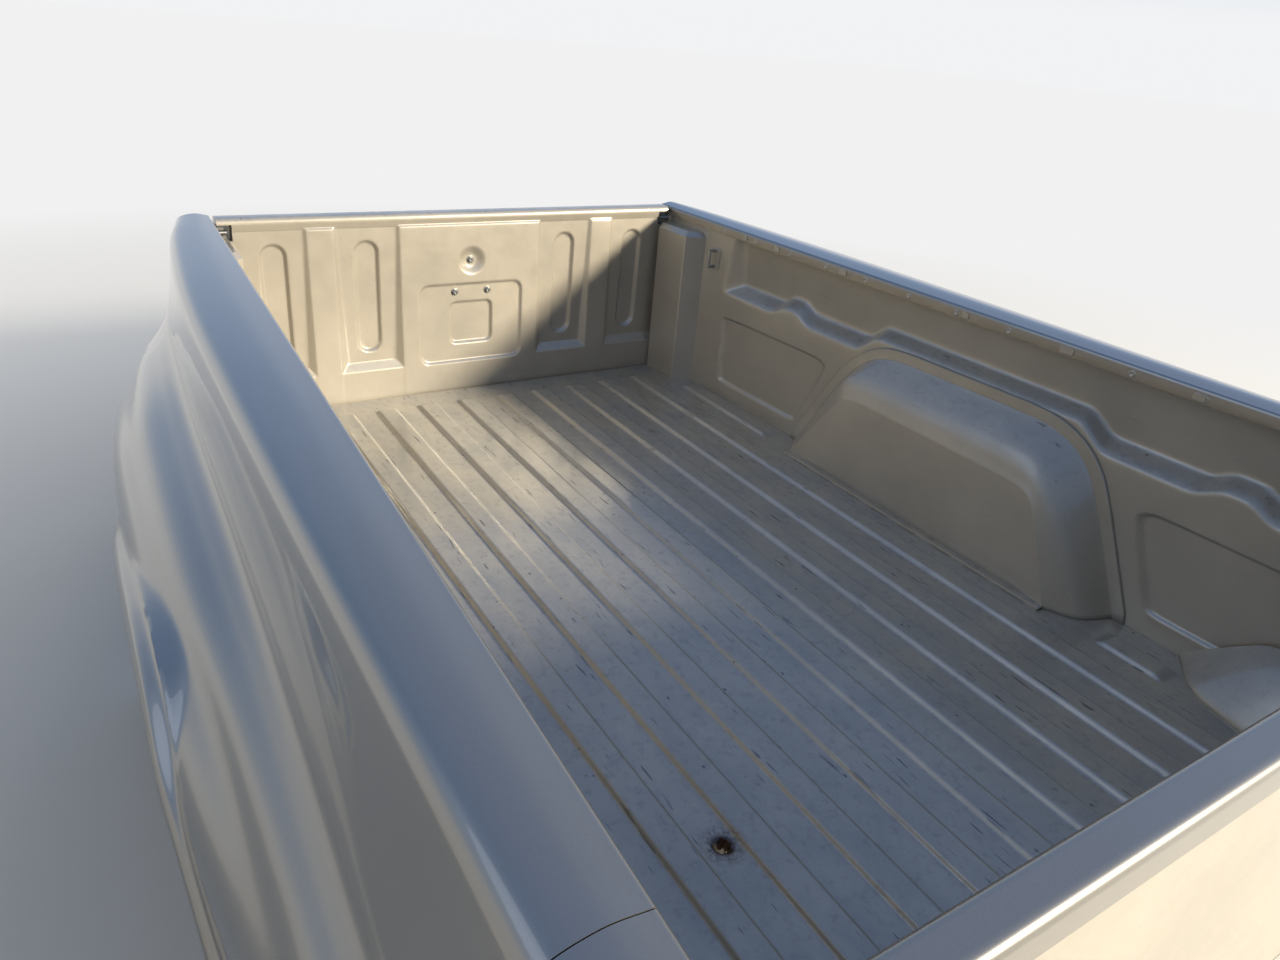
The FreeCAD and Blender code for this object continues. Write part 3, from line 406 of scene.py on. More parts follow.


# Colours, and rust in metres from the hole: full stain to its end, full rim to its end. The full rim also
# coats the torn lip down inside the hole, its dark rust standing in for the hole's shade
CHAMPAGNE = (0.47, 0.432, 0.366)
CHAMPAGNE_DEEP = (0.39, 0.359, 0.305)
# Outer paint: a darker champagne than the bed's, painted shade of the outer skin
BODY_PAINTED_SHADE = (0.265, 0.252, 0.228)
BODY_DEEP_PAINTED_SHADE = (0.205, 0.195, 0.177)
# Blue-grey dust: dust, with its blue tint a painted sky reflection
DUST_AND_PAINTED_SKY = (0.26, 0.28, 0.30)
BARE = (0.055, 0.050, 0.046)
RUST = (0.060, 0.026, 0.012)
GRIME = (0.14, 0.135, 0.125)
RUST_STAIN = (0.013, 0.034)
RUST_RIM_AND_HOLE_SHADE = (0.0145, 0.0190)
RUST_DEPTH = 7
# Scratches: direction, scale and seed
SCRATCHES = [(0.5, 170.0, 3.1), (-1.1, 140.0, 7.7), (1.5, 200.0, 5.3)]


def make_body_paint():
    paint = Paint("body_paint", Metallic=0.68, Roughness=0.32, Coat_Weight=1.0, Coat_Roughness=0.02)
    flake = paint.ramp(paint.noise(3200, 1.0), (0.35, 0.0), (0.7, 1.0))
    # Flake tone varies at random; the whole base is darkened as painted shade
    base = paint.mix(flake, BODY_DEEP_PAINTED_SHADE, BODY_PAINTED_SHADE)
    # Patches of that dust, their blue tint partly painted sky reflection
    film = paint.ramp(paint.noise(7.0, 4.0, 0.6), (0.5, 0.0), (0.9, 0.22))
    paint.set("Base Color", paint.mix(film, base, DUST_AND_PAINTED_SKY))
    return paint.material


def scratch_lines(paint, turn, scale, seed):
    """Short fine scratches in one direction, in patches."""
    stretched = paint.noise(scale, 1.0, 0.4, stretch=(0.09, 1.0, 1.0), turn=(0, 0, turn),
                            shift=(seed, seed, 0))
    fine = paint.ramp(stretched, (0.715, 0.0), (0.735, 1.0))
    patch = paint.ramp(paint.noise(9.0, 2.0, 0.5, shift=(0, seed, seed)), (0.52, 0.0), (0.60, 1.0))
    return paint.maths("MULTIPLY", fine, patch)


def make_bed_paint(name, rust_at=None):
    paint = Paint(name, Metallic=0.25, Coat_Weight=0.9, Coat_Roughness=0.17)
    up = paint.upward()
    cloud = paint.noise(4.0, 5.0, 0.6)
    smear = paint.noise(13.0, 6.0, 0.7, stretch=(0.6, 1.0, 1.0))
    base = paint.mix(paint.ramp(cloud, (0.35, 0.0), (0.7, 1.0)), CHAMPAGNE_DEEP, CHAMPAGNE)
    # Haze on upward faces: dust, with its blue-grey a painted sky reflection
    dust_and_sky_haze = paint.maths("MULTIPLY", paint.ramp(smear, (0.35, 0.25), (0.72, 0.95)), up)
    base = paint.mix(paint.maths("MULTIPLY", dust_and_sky_haze, 0.85), base, DUST_AND_PAINTED_SKY)
    specks = paint.ramp(paint.noise(60.0, 6.0, 0.75), (0.52, 0.0), (0.72, 0.75))
    dirt = paint.maths("MULTIPLY", specks, up)
    base = paint.mix(paint.maths("MULTIPLY", dirt, 0.6), base, GRIME)
    marks = scratch_lines(paint, *SCRATCHES[0])
    for scratch in SCRATCHES[1:]:
        marks = paint.maths("MAXIMUM", marks, scratch_lines(paint, *scratch))
    rare = paint.ramp(paint.noise(26.0, 1.0), (0.64, 0.0), (0.67, 1.0))
    chips = paint.maths("MULTIPLY", paint.spots(60.0, 0.14, stretch=(0.6, 1.0, 1.0)), rare)
    marks = paint.maths("MAXIMUM", marks, chips)
    marks = paint.maths("MULTIPLY", marks, paint.maths("MAXIMUM", up, 0.12))
    base = paint.mix(paint.maths("MULTIPLY", marks, 0.8), base, BARE)
    rough = paint.ramp(smear, (0.3, 0.34), (0.7, 0.55))
    if rust_at:
        rust = paint.near(rust_at, *RUST_STAIN)
        blotch = paint.ramp(paint.noise(150.0, 5.0, 0.7), (0.38, 0.0), (0.6, 1.0))
        rust = paint.maths("MULTIPLY", rust, blotch)
        # Full rust at the rim and down the torn lip: real rust round the hole, and painted shade inside
        # it
        rust = paint.maths("MAXIMUM", rust, paint.near(rust_at, *RUST_RIM_AND_HOLE_SHADE))
        base = paint.mix(rust, base, RUST)
        rough = paint.mix(rust, rough, (0.9, 0.9, 0.9))
    paint.set("Base Color", base)
    paint.set("Roughness", rough)
    paint.bump(paint.noise(26.0, 3.0, 0.5), 0.0016, 0.35)
    paint.bump(paint.noise(700, 2.0), 0.0002, 0.25)
    return paint.material


def simple(name, colour, **sockets):
    paint = Paint(name, **sockets)
    wear = paint.noise(40.0, 5.0, 0.6)
    dark = tuple(0.72 * c for c in colour)
    paint.set("Base Color", paint.mix(paint.ramp(wear, (0.4, 0.0), (0.7, 1.0)), colour, dark))
    paint.bump(paint.noise(1200, 2.0), 0.0001, 0.3)
    return paint.material


RUST_HOLE = Vector(ORIGIN + np.array((*HOLE, FLOOR_Z - RUST_DEPTH)) * MM)
body_paint = make_body_paint()
bed_paint = make_bed_paint("bed_paint")
floor_paint = make_bed_paint("floor_paint", RUST_HOLE)
sealer_paint = simple("sealer", (0.33, 0.315, 0.28), Roughness=0.6)
zinc_steel = simple("zinc_steel", (0.42, 0.42, 0.40), Metallic=1.0, Roughness=0.42)
red_lens = simple("red_lens", (0.42, 0.012, 0.012), Roughness=0.08, Coat_Weight=1.0)
black_plastic = simple("black_plastic", (0.02, 0.02, 0.02), Roughness=0.5)
MATERIALS = {"body_paint": body_paint, "bed_paint": bed_paint, "zinc_steel": zinc_steel,
             "red_lens": red_lens, "black_plastic": black_plastic}
slots = {part["node"]: part["material_slot"] for part in frame["record"]["subparts"]}
for name, made in frame["nodes"].items():
    made.data.materials.clear()
    made.data.materials.append(MATERIALS[slots[name]])


# Floor panel with pressed ribs and the rust hole
RIB_PITCH = 99
RIB_HALF_BASE = 25.5
RIB_HALF_TOP = 17.5
RIB_RUN_OUT = 22
HOLE_RADIUS = 11
HOLE_SAG = 2.2
SAG_REACH = 5
HOLE_GRID = 16
# Torn edge: share of the hole's radius, drop
TORN_EDGE = [(1.04, 1.6), (1.0, 4), (0.86, 9), (0.62, 15)]
# Opening for the wheelhouse: from and to ahead of the wheel, past the tub's face
HOUSE_OPENING = (-372, 300)
OPENING_PAST = 6
# Ribs: place in pitches from the centre line, start and end
FULL_RIBS = 10
FULL_RIB = (72, BED_LENGTH - 26)
SHORT_RIB_PLACE = 5.5
SHORT_RIBS = [(180, WHEEL_X - 465), (WHEEL_X + 410, WHEEL_X + 538)]
RIBS = [(place - (FULL_RIBS - 1) / 2, FULL_RIB) for place in range(FULL_RIBS)]
RIBS += [(side * SHORT_RIB_PLACE, span) for side in (-1, 1) for span in SHORT_RIBS]


def ragged(turn):
    return 1 + 0.10 * np.sin(3 * turn + 0.6) + 0.07 * np.sin(5 * turn) + 0.05 * np.sin(9 * turn + 2)


def hole_edge(x, y):
    """Distance out of the rust hole's ragged edge."""
    across, along = y - HOLE[1], x - HOLE[0]
    return np.hypot(along, across) - HOLE_RADIUS * ragged(np.arctan2(across, along))


def torn_edge(surface):
    """Rusted metal bent down round the hole, narrowing it; its dark rust also stands in for the shade
    inside the hole.
    """
    turn = np.linspace(0, 2 * math.pi, 73)
    rings = []
    for share, drop in TORN_EDGE:
        radius = HOLE_RADIUS * ragged(turn) * share
        height = FLOOR_Z - drop * (1 + 0.2 * np.sin(7 * turn + 1))
        across = HOLE[1] + radius * np.sin(turn)
        rings.append(np.stack((HOLE[0] + radius * np.cos(turn), across, height), axis=-1))
    surface.grid(np.array(rings))


def floor_height(x, y):
    height = np.zeros(np.broadcast(x, y).shape)
    for place, (start, end) in RIBS:
        side = 1 - soft_step(abs(y - place * RIB_PITCH), RIB_HALF_TOP, RIB_HALF_BASE)
        height = np.maximum(height, RIB_HEIGHT * side * band(x, start, end, RIB_RUN_OUT))
    sag = HOLE_SAG * np.exp(-np.maximum(hole_edge(x, y), 0) / SAG_REACH)
    return FLOOR_Z + height - sag


def floor_grid(surface, x, y, drop):
    x, y = np.meshgrid(x, y, indexing="ij")
    points = np.stack((x, y, floor_height(x, y) - drop), axis=-1)
    middle = (points[:-1, :-1] + points[1:, 1:]) / 2
    ahead = middle[..., 0] - WHEEL_X
    start, end = HOUSE_OPENING
    house = (abs(middle[..., 1]) > HOUSE_FACE_Y + OPENING_PAST) & (ahead > start) & (ahead < end)
    kept = ~house & (hole_edge(middle[..., 0], middle[..., 1]) > 0)
    return surface.grid(points, kept)


def floor_panel():
    surface = Surface()
    rear, half = floor_low[0], floor_high[1]
    hole_x, hole_y = (about(middle, HOLE_GRID, 1.0) for middle in HOLE)
    ends = sorted({place for _, span in RIBS for place in span})
    x_runs = [(rear, floor_high[0], 11), hole_x]
    x_runs += [about(end, RIB_RUN_OUT, 3.5) for end in ends]
    y_runs = [(-half, half, 18), hole_y]
    for place, _ in RIBS:
        for side in (-1, 1):
            edge = place * RIB_PITCH + side * (RIB_HALF_TOP + RIB_HALF_BASE) / 2
            y_runs.append(about(edge, 6, 1.7))
    floor_grid(surface, lines(*x_runs), lines(*y_runs), 0)
    coarse_x, coarse_y = (about(middle, HOLE_GRID, 4) for middle in HOLE)
    coarse_ribs = [about(place * RIB_PITCH, 26, 7) for place, _ in RIBS]
    floor_grid(surface, lines((rear, floor_high[0], 30), coarse_x),
               lines((-half, half, 24), *coarse_ribs, coarse_y), SHEET)
    y = lines((-GATE_HALF, GATE_HALF, 20))
    lip_foot = floor_low[2]
    corners = ((0, FLOOR_Z), (0, lip_foot), (SHEET, lip_foot), (SHEET, FLOOR_Z - SHEET))
    lip = [np.stack((np.full_like(y, rear + forward), y, np.full_like(y, z)), axis=-1)
           for forward, z in corners]
    surface.grid(np.array(lip))
    torn_edge(surface)
    placed(surface.made("floor_sheet", floor_paint), "floor_panel")


# Wheelhouse: outlines from rear foot to front foot, ahead of the wheel and above the floor sheet
HOUSE_DEPTH = 93
FACE_SET_BACK = 15
HOUSE_FACE_Y = wall_y(WHEEL_X) - HOUSE_DEPTH + FACE_SET_BACK
HOUSE_LEAN = 0.075
HOUSE_FACE = [(-382, 0), (-266, 172), (-252, 185), (-210, 188),
              (180, 188), (212, 181), (232, 157), (312, 0)]
HOUSE_MIDDLE = [(-408, 0), (-294, 197), (-265, 221), (-205, 231),
                (182, 233), (228, 213), (260, 167), (362, 0)]
HOUSE_WALL = [(-425, 0), (-306, 212), (-245, 265), (-190, 278),
              (178, 281), (234, 259), (274, 221), (384, 0)]
STRETCHES = (22, 8, 8, 40, 8, 8, 22)
HOUSE_BLUR = 26
FLANGE_WIDTH = 26
FLANGE_PROUD = 1.5
FLANGE_ROOT = 7
SHOULDER_SHARE = 0.11
FACE_SHARES = (0.05, 0.2, 0.55, 1.0)
# Flange on the floor: steps along, across and up from the tub's foot
FOOT_FLANGE = [(0, 0, 0), (0, 0, 3), (0, -16, 3), (0, -17, 0)]


def outline_points(table, grow=0.0):
    """A rounded outline with the same number of points for each table."""
    points = []
    for (start, end), count in zip(zip(table, table[1:]), STRETCHES):
        share = np.linspace(0, 1, count, endpoint=False)[:, None]
        points.append(np.array(start) * (1 - share) + np.array(end) * share)
    curve = blurred(np.vstack(points + [np.array(table[-1:])]), HOUSE_BLUR)
    if grow:
        along = np.gradient(curve, axis=0)
        along /= np.linalg.norm(along, axis=1)[:, None]
        curve = curve + grow * np.stack((-along[:, 1], along[:, 0]), axis=1)
        curve[[0, -1], 1] = 0
    return curve


def house_ring(curve, y):
    return np.stack((WHEEL_X + curve[:, 0], y, FLOOR_Z + curve[:, 1]), axis=-1)


def wheelhouse_rings():
    """Rings of the tub from the flange on the wall to the foot of its inner side."""
    wall, middle, face = (outline_points(table) for table in (HOUSE_WALL, HOUSE_MIDDLE, HOUSE_FACE))
    on_wall = wall_y(WHEEL_X + wall[:, 0])
    middle_y = np.full(len(middle), wall_y(WHEEL_X) - HOUSE_DEPTH / 2)
    face_y = HOUSE_FACE_Y + (FLOOR_Z + face[:, 1]) * HOUSE_LEAN
    wide = outline_points(HOUSE_WALL, FLANGE_WIDTH)
    wide_y = wall_y(WHEEL_X + wide[:, 0])
    edge = outline_points(HOUSE_WALL, FLANGE_WIDTH - FLANGE_PROUD)
    near = outline_points(HOUSE_WALL, FLANGE_ROOT)
    near_y = wall_y(WHEEL_X + near[:, 0]) - FLANGE_PROUD
    flange = [house_ring(wide, wide_y - 0.1), house_ring(edge, wide_y - FLANGE_PROUD),
              house_ring(near, near_y)]
    foot = face.copy()
    foot[:, 1] = 0
    foot_y = np.full(len(foot), HOUSE_FACE_Y)
    shoulder = SHOULDER_SHARE * middle + (1 - SHOULDER_SHARE) * face
    shoulder_y = SHOULDER_SHARE * middle_y + (1 - SHOULDER_SHARE) * face_y
    stations = [house_ring(near, near_y), house_ring(wall * (1, 0.997), on_wall - 5),
                house_ring(middle * (1, 1.01), middle_y), house_ring(shoulder, shoulder_y)]
    for share in FACE_SHARES:
        drop = face * (1 - share) + foot * share
        stations.append(house_ring(drop, face_y * (1 - share) + foot_y * share))
    smooth = smooth_curve(np.array(stations).reshape(len(stations), -1), 9).reshape(-1, len(wall), 3)
    return flange, smooth


def wheelhouse(name, side):
    surface = Surface()
    flange, smooth = wheelhouse_rings()
    surface.grid(np.array(flange[:2]))
    surface.grid(np.array(flange[1:]))
    surface.grid(smooth)
    foot = smooth[-1]
    surface.grid(np.array([foot + step for step in FOOT_FLANGE]))
    made = surface.made(name, bed_paint, side=side)
    thick = made.modifiers.new("sheet", "SOLIDIFY")
    thick.thickness = SHEET * MM
    thick.offset = -1
    placed(made, name.replace("tub", "wheelhouse"))


# Inner wall of the bedside with its stepped shelf and two pressed panels
LEDGE_Z = 262
LEDGE_RISE = 26
HOUSE_STEP = 38
SHELF_DEPTH = 36
SHELF_LEAN = 0.13
PANEL_DEPTH = 7
PANEL_SLOPE = 8
PANEL_CORNER = 9
SHELF_BLEND = 7
WALL_BLEND = 5
LEDGE_BLUR = 30
LEDGE_PAST = 80
# Ends of the bays: inset at the rail, run of the slope, less of it at the rail
END_INSET = 24
END_RUN = 41
END_STEEPER = 20
# Bump in the shelf: along, up; the upper line moves along by these
BUMP = [(-61, 0), (-20, 21), (22, 21), (62, 0)]
BUMP_MOVES = (12, -3, 5, -10)
# Step over the wheelhouse: along, move of the upper line, up
STEP_UP = [(0, 6, 0), (48, 4, HOUSE_STEP)]
STEP_DOWN = [(-49, -3, HOUSE_STEP), (0, -8, 0)]
REAR_BAY = (245, WHEEL_X - 302)
FRONT_BAY = (WHEEL_X + 274, BED_LENGTH - 105)
# Bays, and where along them the bump is
BAYS = ((REAR_BAY, 0.525), (FRONT_BAY, 0.47))
PANELS = [
    [(262, 30), (250, 205), (WHEEL_X - 398, 210), (WHEEL_X - 376, 196), (WHEEL_X - 450, 30)],
    [(WHEEL_X + 430, 30), (WHEEL_X + 358, 190), (WHEEL_X + 378, 206), (BED_LENGTH - 110, 205),
     (BED_LENGTH - 122, 30)],
]


def ledge_at(x, shift):
    """Height of the shelf's edge along the wall: its lower line, or its upper one with shift 1."""
    points = [(0, 0)]
    for (start, end), share in BAYS:
        middle = start + share * (end - start)
        points += [(middle + along + shift * move, up) for (along, up), move in zip(BUMP, BUMP_MOVES)]
    points += [(REAR_BAY[1] + along + shift * move, up) for along, move, up in STEP_UP]
    points += [(FRONT_BAY[0] + along + shift * move, up) for along, move, up in STEP_DOWN]
    fine = np.arange(0, BED_LENGTH + LEDGE_PAST, 2.0)
    along, up = np.array(sorted(points) + [(BED_LENGTH + LEDGE_PAST, 0)]).T
    height = blurred(np.interp(fine, along, up)[:, None], LEDGE_BLUR)[:, 0]
    return LEDGE_Z + np.interp(x, fine, height)


def wall_depth(x, z):
    """How far outboard of the wall's face the pressing is."""
    lower = ledge_at(x, 0)
    upper = ledge_at(x, 1) + LEDGE_RISE
    shelf = (z - lower) / (upper - lower) * SHELF_DEPTH
    rise = np.clip((z - LEDGE_Z - LEDGE_RISE) / (RAIL_TOP - LEDGE_Z), 0, 1)
    run = END_RUN - END_STEEPER * rise
    rear = (x - REAR_BAY[0] - END_INSET * rise) / run * SHELF_DEPTH
    front = (FRONT_BAY[1] - END_INSET * rise - x) / run * SHELF_DEPTH
    deep = SHELF_DEPTH - np.maximum(z - LEDGE_Z - LEDGE_RISE, 0) * SHELF_LEAN
    depth = soft_min(shelf, soft_min(rear, front, SHELF_BLEND), SHELF_BLEND)
    depth = soft_max(soft_min(depth, deep, SHELF_BLEND), 0, WALL_BLEND)
    for panel in PANELS:
        inside = -outline_distance(x, z, panel, PANEL_CORNER)
        depth = depth + PANEL_DEPTH * soft_step(inside, 0, PANEL_SLOPE)
    return depth


def in_house(x, z, shrink):
    """True behind the tub, where the wall is open to the wheel arch."""
    outline = outline_points(HOUSE_WALL, -shrink)
    return z - FLOOR_Z < np.interp(x - WHEEL_X, outline[:, 0], outline[:, 1], left=-1, right=-1)


WALL_REAR = 6
WALL_PAST = 36
TUB_OVERLAP = 6


def inner_wall(name, side):
    surface = Surface()
    x = lines((WALL_REAR, BED_LENGTH + WALL_PAST, 5))
    z = lines((FLOOR_Z, 22, 7), (22, 42, 2), (42, 184, 8), (184, 216, 2), (216, 250, 4),
              (250, 345, 2.2), (345, LIP_Z, 5))
    x, z = np.meshgrid(x, z, indexing="ij")
    points = np.stack((x, wall_y(x) + wall_depth(x, z), z), axis=-1)
    middle = (points[:-1, :-1] + points[1:, 1:]) / 2
    surface.grid(points, ~in_house(middle[..., 0], middle[..., 2], TUB_OVERLAP))
    made = surface.made(name, bed_paint, side=side)
    placed(made, name.replace("wall", "side_inner"))


# Outer panel of the bedside: rail, shoulder, groove, hip, lower side and arch flare
REAR_END = gate_low[0] + 2
FRONT_END = header_high[0]
# Stations: x, then shoulder, groove, hip, side, low side and bottom edge,
# each outward from the rail's inner edge, and the groove's and hip's drop below it
STATIONS = np.array([
    (REAR_END, 70, 104, 178, 216, 226, 194, 201, 320),
    (100, 92, 114, 200, 236, 238, 205, 198, 300),
    (WHEEL_X - 650, 108, 121, 214, 250, 246, 212, 195, 272),
    (WHEEL_X - 410, 113, 122, 214, 249, 244, 205, 195, 266),
    (WHEEL_X - 110, 109, 118, 207, 240, 232, 190, 195, 268),
    (WHEEL_X + 190, 101, 114, 188, 232, 220, 178, 200, 276),
    (WHEEL_X + 440, 93, 114, 176, 203, 198, 165, 200, 275),
    (BED_LENGTH - 200, 87, 116, 168, 180, 178, 150, 200, 265),
    (FRONT_END + 2, 80, 112, 150, 159, 158, 138, 200, 265),
])
# Crown of the rail: share of its width, drop below the inner edge
CROWN = [(0.0, 6), (0.02, 1.5), (0.08, 0), (0.42, -4), (0.78, 1), (0.94, 13), (1.0, 32)]
SIDE_DROP = 397
LOW_DROP = 547
SKIRT_DROP = 632
FOOT_DROP = RAIL_TOP - SIDE_FOOT
SKIN = 9
ARCH_LIP = 38
# Ridge of the arch flare: ahead of the wheel, height, outward from the centre line
RIDGE = np.array([(-520, 66, 806), (-470, 72, 822), (-450, 80, 832), (-390, 88, 843), (-313, 95, 847),
                  (-240, 105, 848), (-167, 115, 848), (-85, 125, 848), (0, 128, 848), (85, 120, 848),
                  (167, 95, 848), (244, 55, 842), (313, 0, 836), (373, -70, 830), (410, -133, 824),
                  (436, -236, 812), (470, -330, 780)])
RIDGE_STEP = 20
RIDGE_DROP = 18
RIDGE_ROLL = 5
ROLL_REACH = 14
ABOVE_FALL = 3
OFF_FLARE = -400
FLARE_BLEND = 6
CROWN_FOOT = CROWN[-1][1]
CROWN_SPLIT = 34
PROFILE_ROWS = 150
LINER_ROWS = 8


def station_at(x):
    """The station table read at any x, on a smooth curve through its rows."""
    dense = smooth_curve(STATIONS, 24)
    return [np.interp(x, dense[:, 0], dense[:, k]) for k in range(1, 9)]


def flare_y(x, z):
    """Outer face of the arch flare: flat below its ridge, with a step above it."""
    table = smooth_curve(RIDGE, 10)
    ridge_z, ridge_y = (np.interp(x - WHEEL_X, table[:, 0], table[:, k], left=OFF_FLARE, right=OFF_FLARE)
                        for k in (1, 2))
    above = z - ridge_z
    rolled = RIDGE_ROLL * np.clip((above + ROLL_REACH) / ROLL_REACH, 0, 1) ** 2
    stepped = RIDGE_STEP * soft_step(above, 0, RIDGE_DROP)
    return ridge_y - rolled - stepped - ABOVE_FALL * np.maximum(above - RIDGE_DROP, 0)


def foot_z(x):
    """Lower edge of the skin: the arch opening, or the bedside's foot."""
    across = np.clip(1 - ((x - WHEEL_X) / ARCH_RADIUS) ** 2, 0, None)
    return max(SIDE_FOOT, WHEEL_Z + ARCH_RADIUS * math.sqrt(across))


def side_profile(x):
    """Outer face at one x, from the rail's inner edge to the lower edge: y, z."""
    shoulder, groove, hip, side, low, bottom, groove_drop, hip_drop = station_at(x)
    points = [(share * shoulder, drop) for share, drop in CROWN]
    points += [(shoulder + 0.35 * (groove - shoulder), CROWN_FOOT + 0.35 * (groove_drop - CROWN_FOOT)),
               (groove - 3, groove_drop - 32),
               (groove + 3, groove_drop),
               (groove + 0.32 * (hip - groove), groove_drop + 0.30 * (hip_drop - groove_drop)),
               (groove + 0.72 * (hip - groove), groove_drop + 0.62 * (hip_drop - groove_drop)),
               (hip - 2, hip_drop),
               (hip + 0.78 * (side - hip), hip_drop + 44),
               (side, SIDE_DROP), (low, LOW_DROP),
               (low + 0.3 * (bottom - low), SKIRT_DROP), (bottom, FOOT_DROP)]
    curve = smooth_curve(points, 14)
    curve = np.stack((rail_y(x) + curve[:, 0], RAIL_TOP - curve[:, 1]), axis=1)
    low_edge = foot_z(x)
    above = curve[curve[:, 1] > low_edge + 0.01]
    last = np.array([np.interp(low_edge, curve[::-1, 1], curve[::-1, 0]), low_edge])
    curve = np.vstack((above, last))
    crown = curve[curve[:, 1] > RAIL_TOP - CROWN_SPLIT]
    rest = np.vstack((crown[-1:], curve[curve[:, 1] <= RAIL_TOP - CROWN_SPLIT]))
    y, z = np.vstack((evened(crown, PROFILE_ROWS // 3), evened(rest, PROFILE_ROWS)[1:])).T
    if abs(x - WHEEL_X) < -RIDGE[0][0]:
        y = soft_max(y, flare_y(x, z), FLARE_BLEND)
    return y, z


def side_loop(x):
    """The bedside's closed outline at one x."""
    y, z = side_profile(x)
    ahead = x - WHEEL_X
    in_arch = abs(ahead) < math.sqrt(ARCH_RADIUS ** 2 - (FLOOR_Z - WHEEL_Z) ** 2)
    wall = outline_points(HOUSE_WALL, -SHEET)
    tub_z = FLOOR_Z + np.interp(ahead, wall[:, 0], wall[:, 1], left=-1, right=-1)
    over_tub = tub_z > FLOOR_Z
    back_y = wall_y(x) + WALL_THICK / math.cos(math.atan(TAPER))
    inner_low = (y[-1] - SKIN, z[-1])
    inner_top = (np.interp(FLOOR_Z, z[::-1], y[::-1]) - SKIN, FLOOR_Z)
    if in_arch:
        inner_low = (y[-1] - ARCH_LIP, z[-1] + 2)
        inner_top = inner_low
    root = (wall_y(x) + 1, tub_z) if over_tub else (back_y, FLOOR_Z)
    shares = np.linspace(0, 1, LINER_ROWS)[:, None]
    liner = (np.array(inner_top) + (np.array(root) - inner_top) * shares).tolist()
    behind = [(back_y, max(root[1], FLOOR_Z) + 0.5), (back_y, LIP_Z), (rail_y(x), LIP_Z)]
    loop = list(zip(y, z)) + [inner_low] + liner + behind
    return [(x, across, up) for across, up in loop]


def bedside(name, side):
    """The whole bedside in one closed mesh, before lamp, cap and fuel door are cut."""
    turns = np.linspace(-1, 1, 91) * math.acos((SIDE_FOOT - WHEEL_Z) / ARCH_RADIUS)
    arch = WHEEL_X + ARCH_RADIUS * np.sin(turns)
    x = np.concatenate((lines((REAR_END, arch[0] - 30, 11), (arch[0] - 30, arch[0], 3))[:-1], arch,
                        lines((arch[-1], arch[-1] + 30, 3), (arch[-1] + 30, FRONT_END, 11))[1:]))
    surface = Surface()
    index = surface.grid(np.array([side_loop(place) for place in x]).transpose(1, 0, 2), closed=True)
    surface.cap(index[:-1, 0])
    surface.cap(index[:-1, -1])
    return surface.made(name, body_paint, side=side, angle=35)


# Cuts in the bedside: seat of the lamp, corner cap, pocket and hinge of the fuel door
LAMP_SEAT = 0.3
CAP_LENGTH = 75
CAP_HEIGHT = 47
CAP_INNER = 300
SEAM = 1
FUEL_GAP = 6.5
HINGE_PLAY = 1
HINGE_REBATE = 8
# The cutting boxes reach past the skin
PAST = 50
FAR_OUT = 1200


def bedside_pieces(hand, side):
    skin = bedside("bedside_" + hand, side)
    lamp_low, lamp_high = bed_box("tail_lamp_left")
    lens = bedside("lens_" + hand, side)
    carved(lens, lamp_low - (5, 0, 0), lamp_high + (0, PAST, 0), "INTERSECT", side)
    lens.data.materials[0] = red_lens
    cap = bedside("cap_" + hand, side)
    cap_low = np.array((BED_LENGTH - CAP_LENGTH, CAP_INNER, RAIL_TOP - CAP_HEIGHT))
    far = np.array((FRONT_END + PAST, FAR_OUT, RAIL_TOP + PAST))
    carved(cap, cap_low, far, "INTERSECT", side)
    carved(skin, cap_low - (SEAM, 0, 0), far, side=side)
    carved(skin, lamp_low - (PAST, LAMP_SEAT, LAMP_SEAT), lamp_high + (LAMP_SEAT, 300, LAMP_SEAT),
           side=side)
    if hand == "left":
        door_low, door_high = bed_box("fuel_door")
        neck_root = bed_box("filler_neck")[0][1]
        pocket_low = np.array((door_low[0] - FUEL_GAP, neck_root, door_low[2] - FUEL_GAP))
        pin_high = bed_box("fuel_hinge_pin")[1]
        pocket_high = np.array((pin_high[0], FAR_OUT, door_high[2] + FUEL_GAP))
        carved(skin, pocket_low, pocket_high, side=side)
        rebate_low = np.array((pin_high[0] - 1, pin_high[1] + HINGE_PLAY, pocket_low[2]))
        carved(skin, rebate_low, pocket_high + (HINGE_REBATE, 0, 0), side=side)
        fuel_bowl(pocket_low, pocket_high, door_low[1] + 1)
    placed(skin, "side_outer_" + hand, slot="body_paint")
    placed(lens, "tail_lamp_" + hand, slot="red_lens")
    placed(cap, "corner_cap_" + hand, slot="body_paint")


# Tailgate: bars, sloped fields, oval beads, centre pans and dish
GATE_THICK = -gate_low[0]
GATE_FOOT = gate_low[2]
GATE_ROUND = 11
PLATEAU = 0.315
BAR = 0.633
BAR_HALF = 28
FIELD_TOP = 398
# Depth of the fields over their height: ledge, foot, head of the bars, top band, rim
FIELD = [(64, 0), (84, 15), (FIELD_TOP, 6), (RAIL_TOP - 27, 5), (RAIL_TOP - 13, 0)]
# Slope of the fields' sides, and how softly their edges turn
SIDE_FALL = 0.9
HEAD_BLEND = 1.5
FIELD_BLEND = 1.6
FACE_BLEND = 1.0
FACE_PROUD = 0.35
BEADS = (0.452, 0.812)
BEAD_HALF = 30
BEAD_FOOT = 105
BEAD_TOP = 372
BEAD_DEPTH = 9
BEAD_SLOPE = 9
DISH_DEPTH = 12
DISH_Z = 314
DISH_RADIUS = 36
DISH_FLOOR = 13
# Latch notch: width, depth, foot and top
NOTCH = (28, 29, 380, 414)
# Pans: half width, foot, top, corner radius, depth
CENTRE_PANS = [(134, 60, 262, 26, 7), (57, 106, 216, 18, 8)]
OUTER_PAN = (430, 40, 270, 40, 4)
# Handle pocket: half width, foot, top, depth
HANDLE_POCKET = (92, 291, 359, 24)
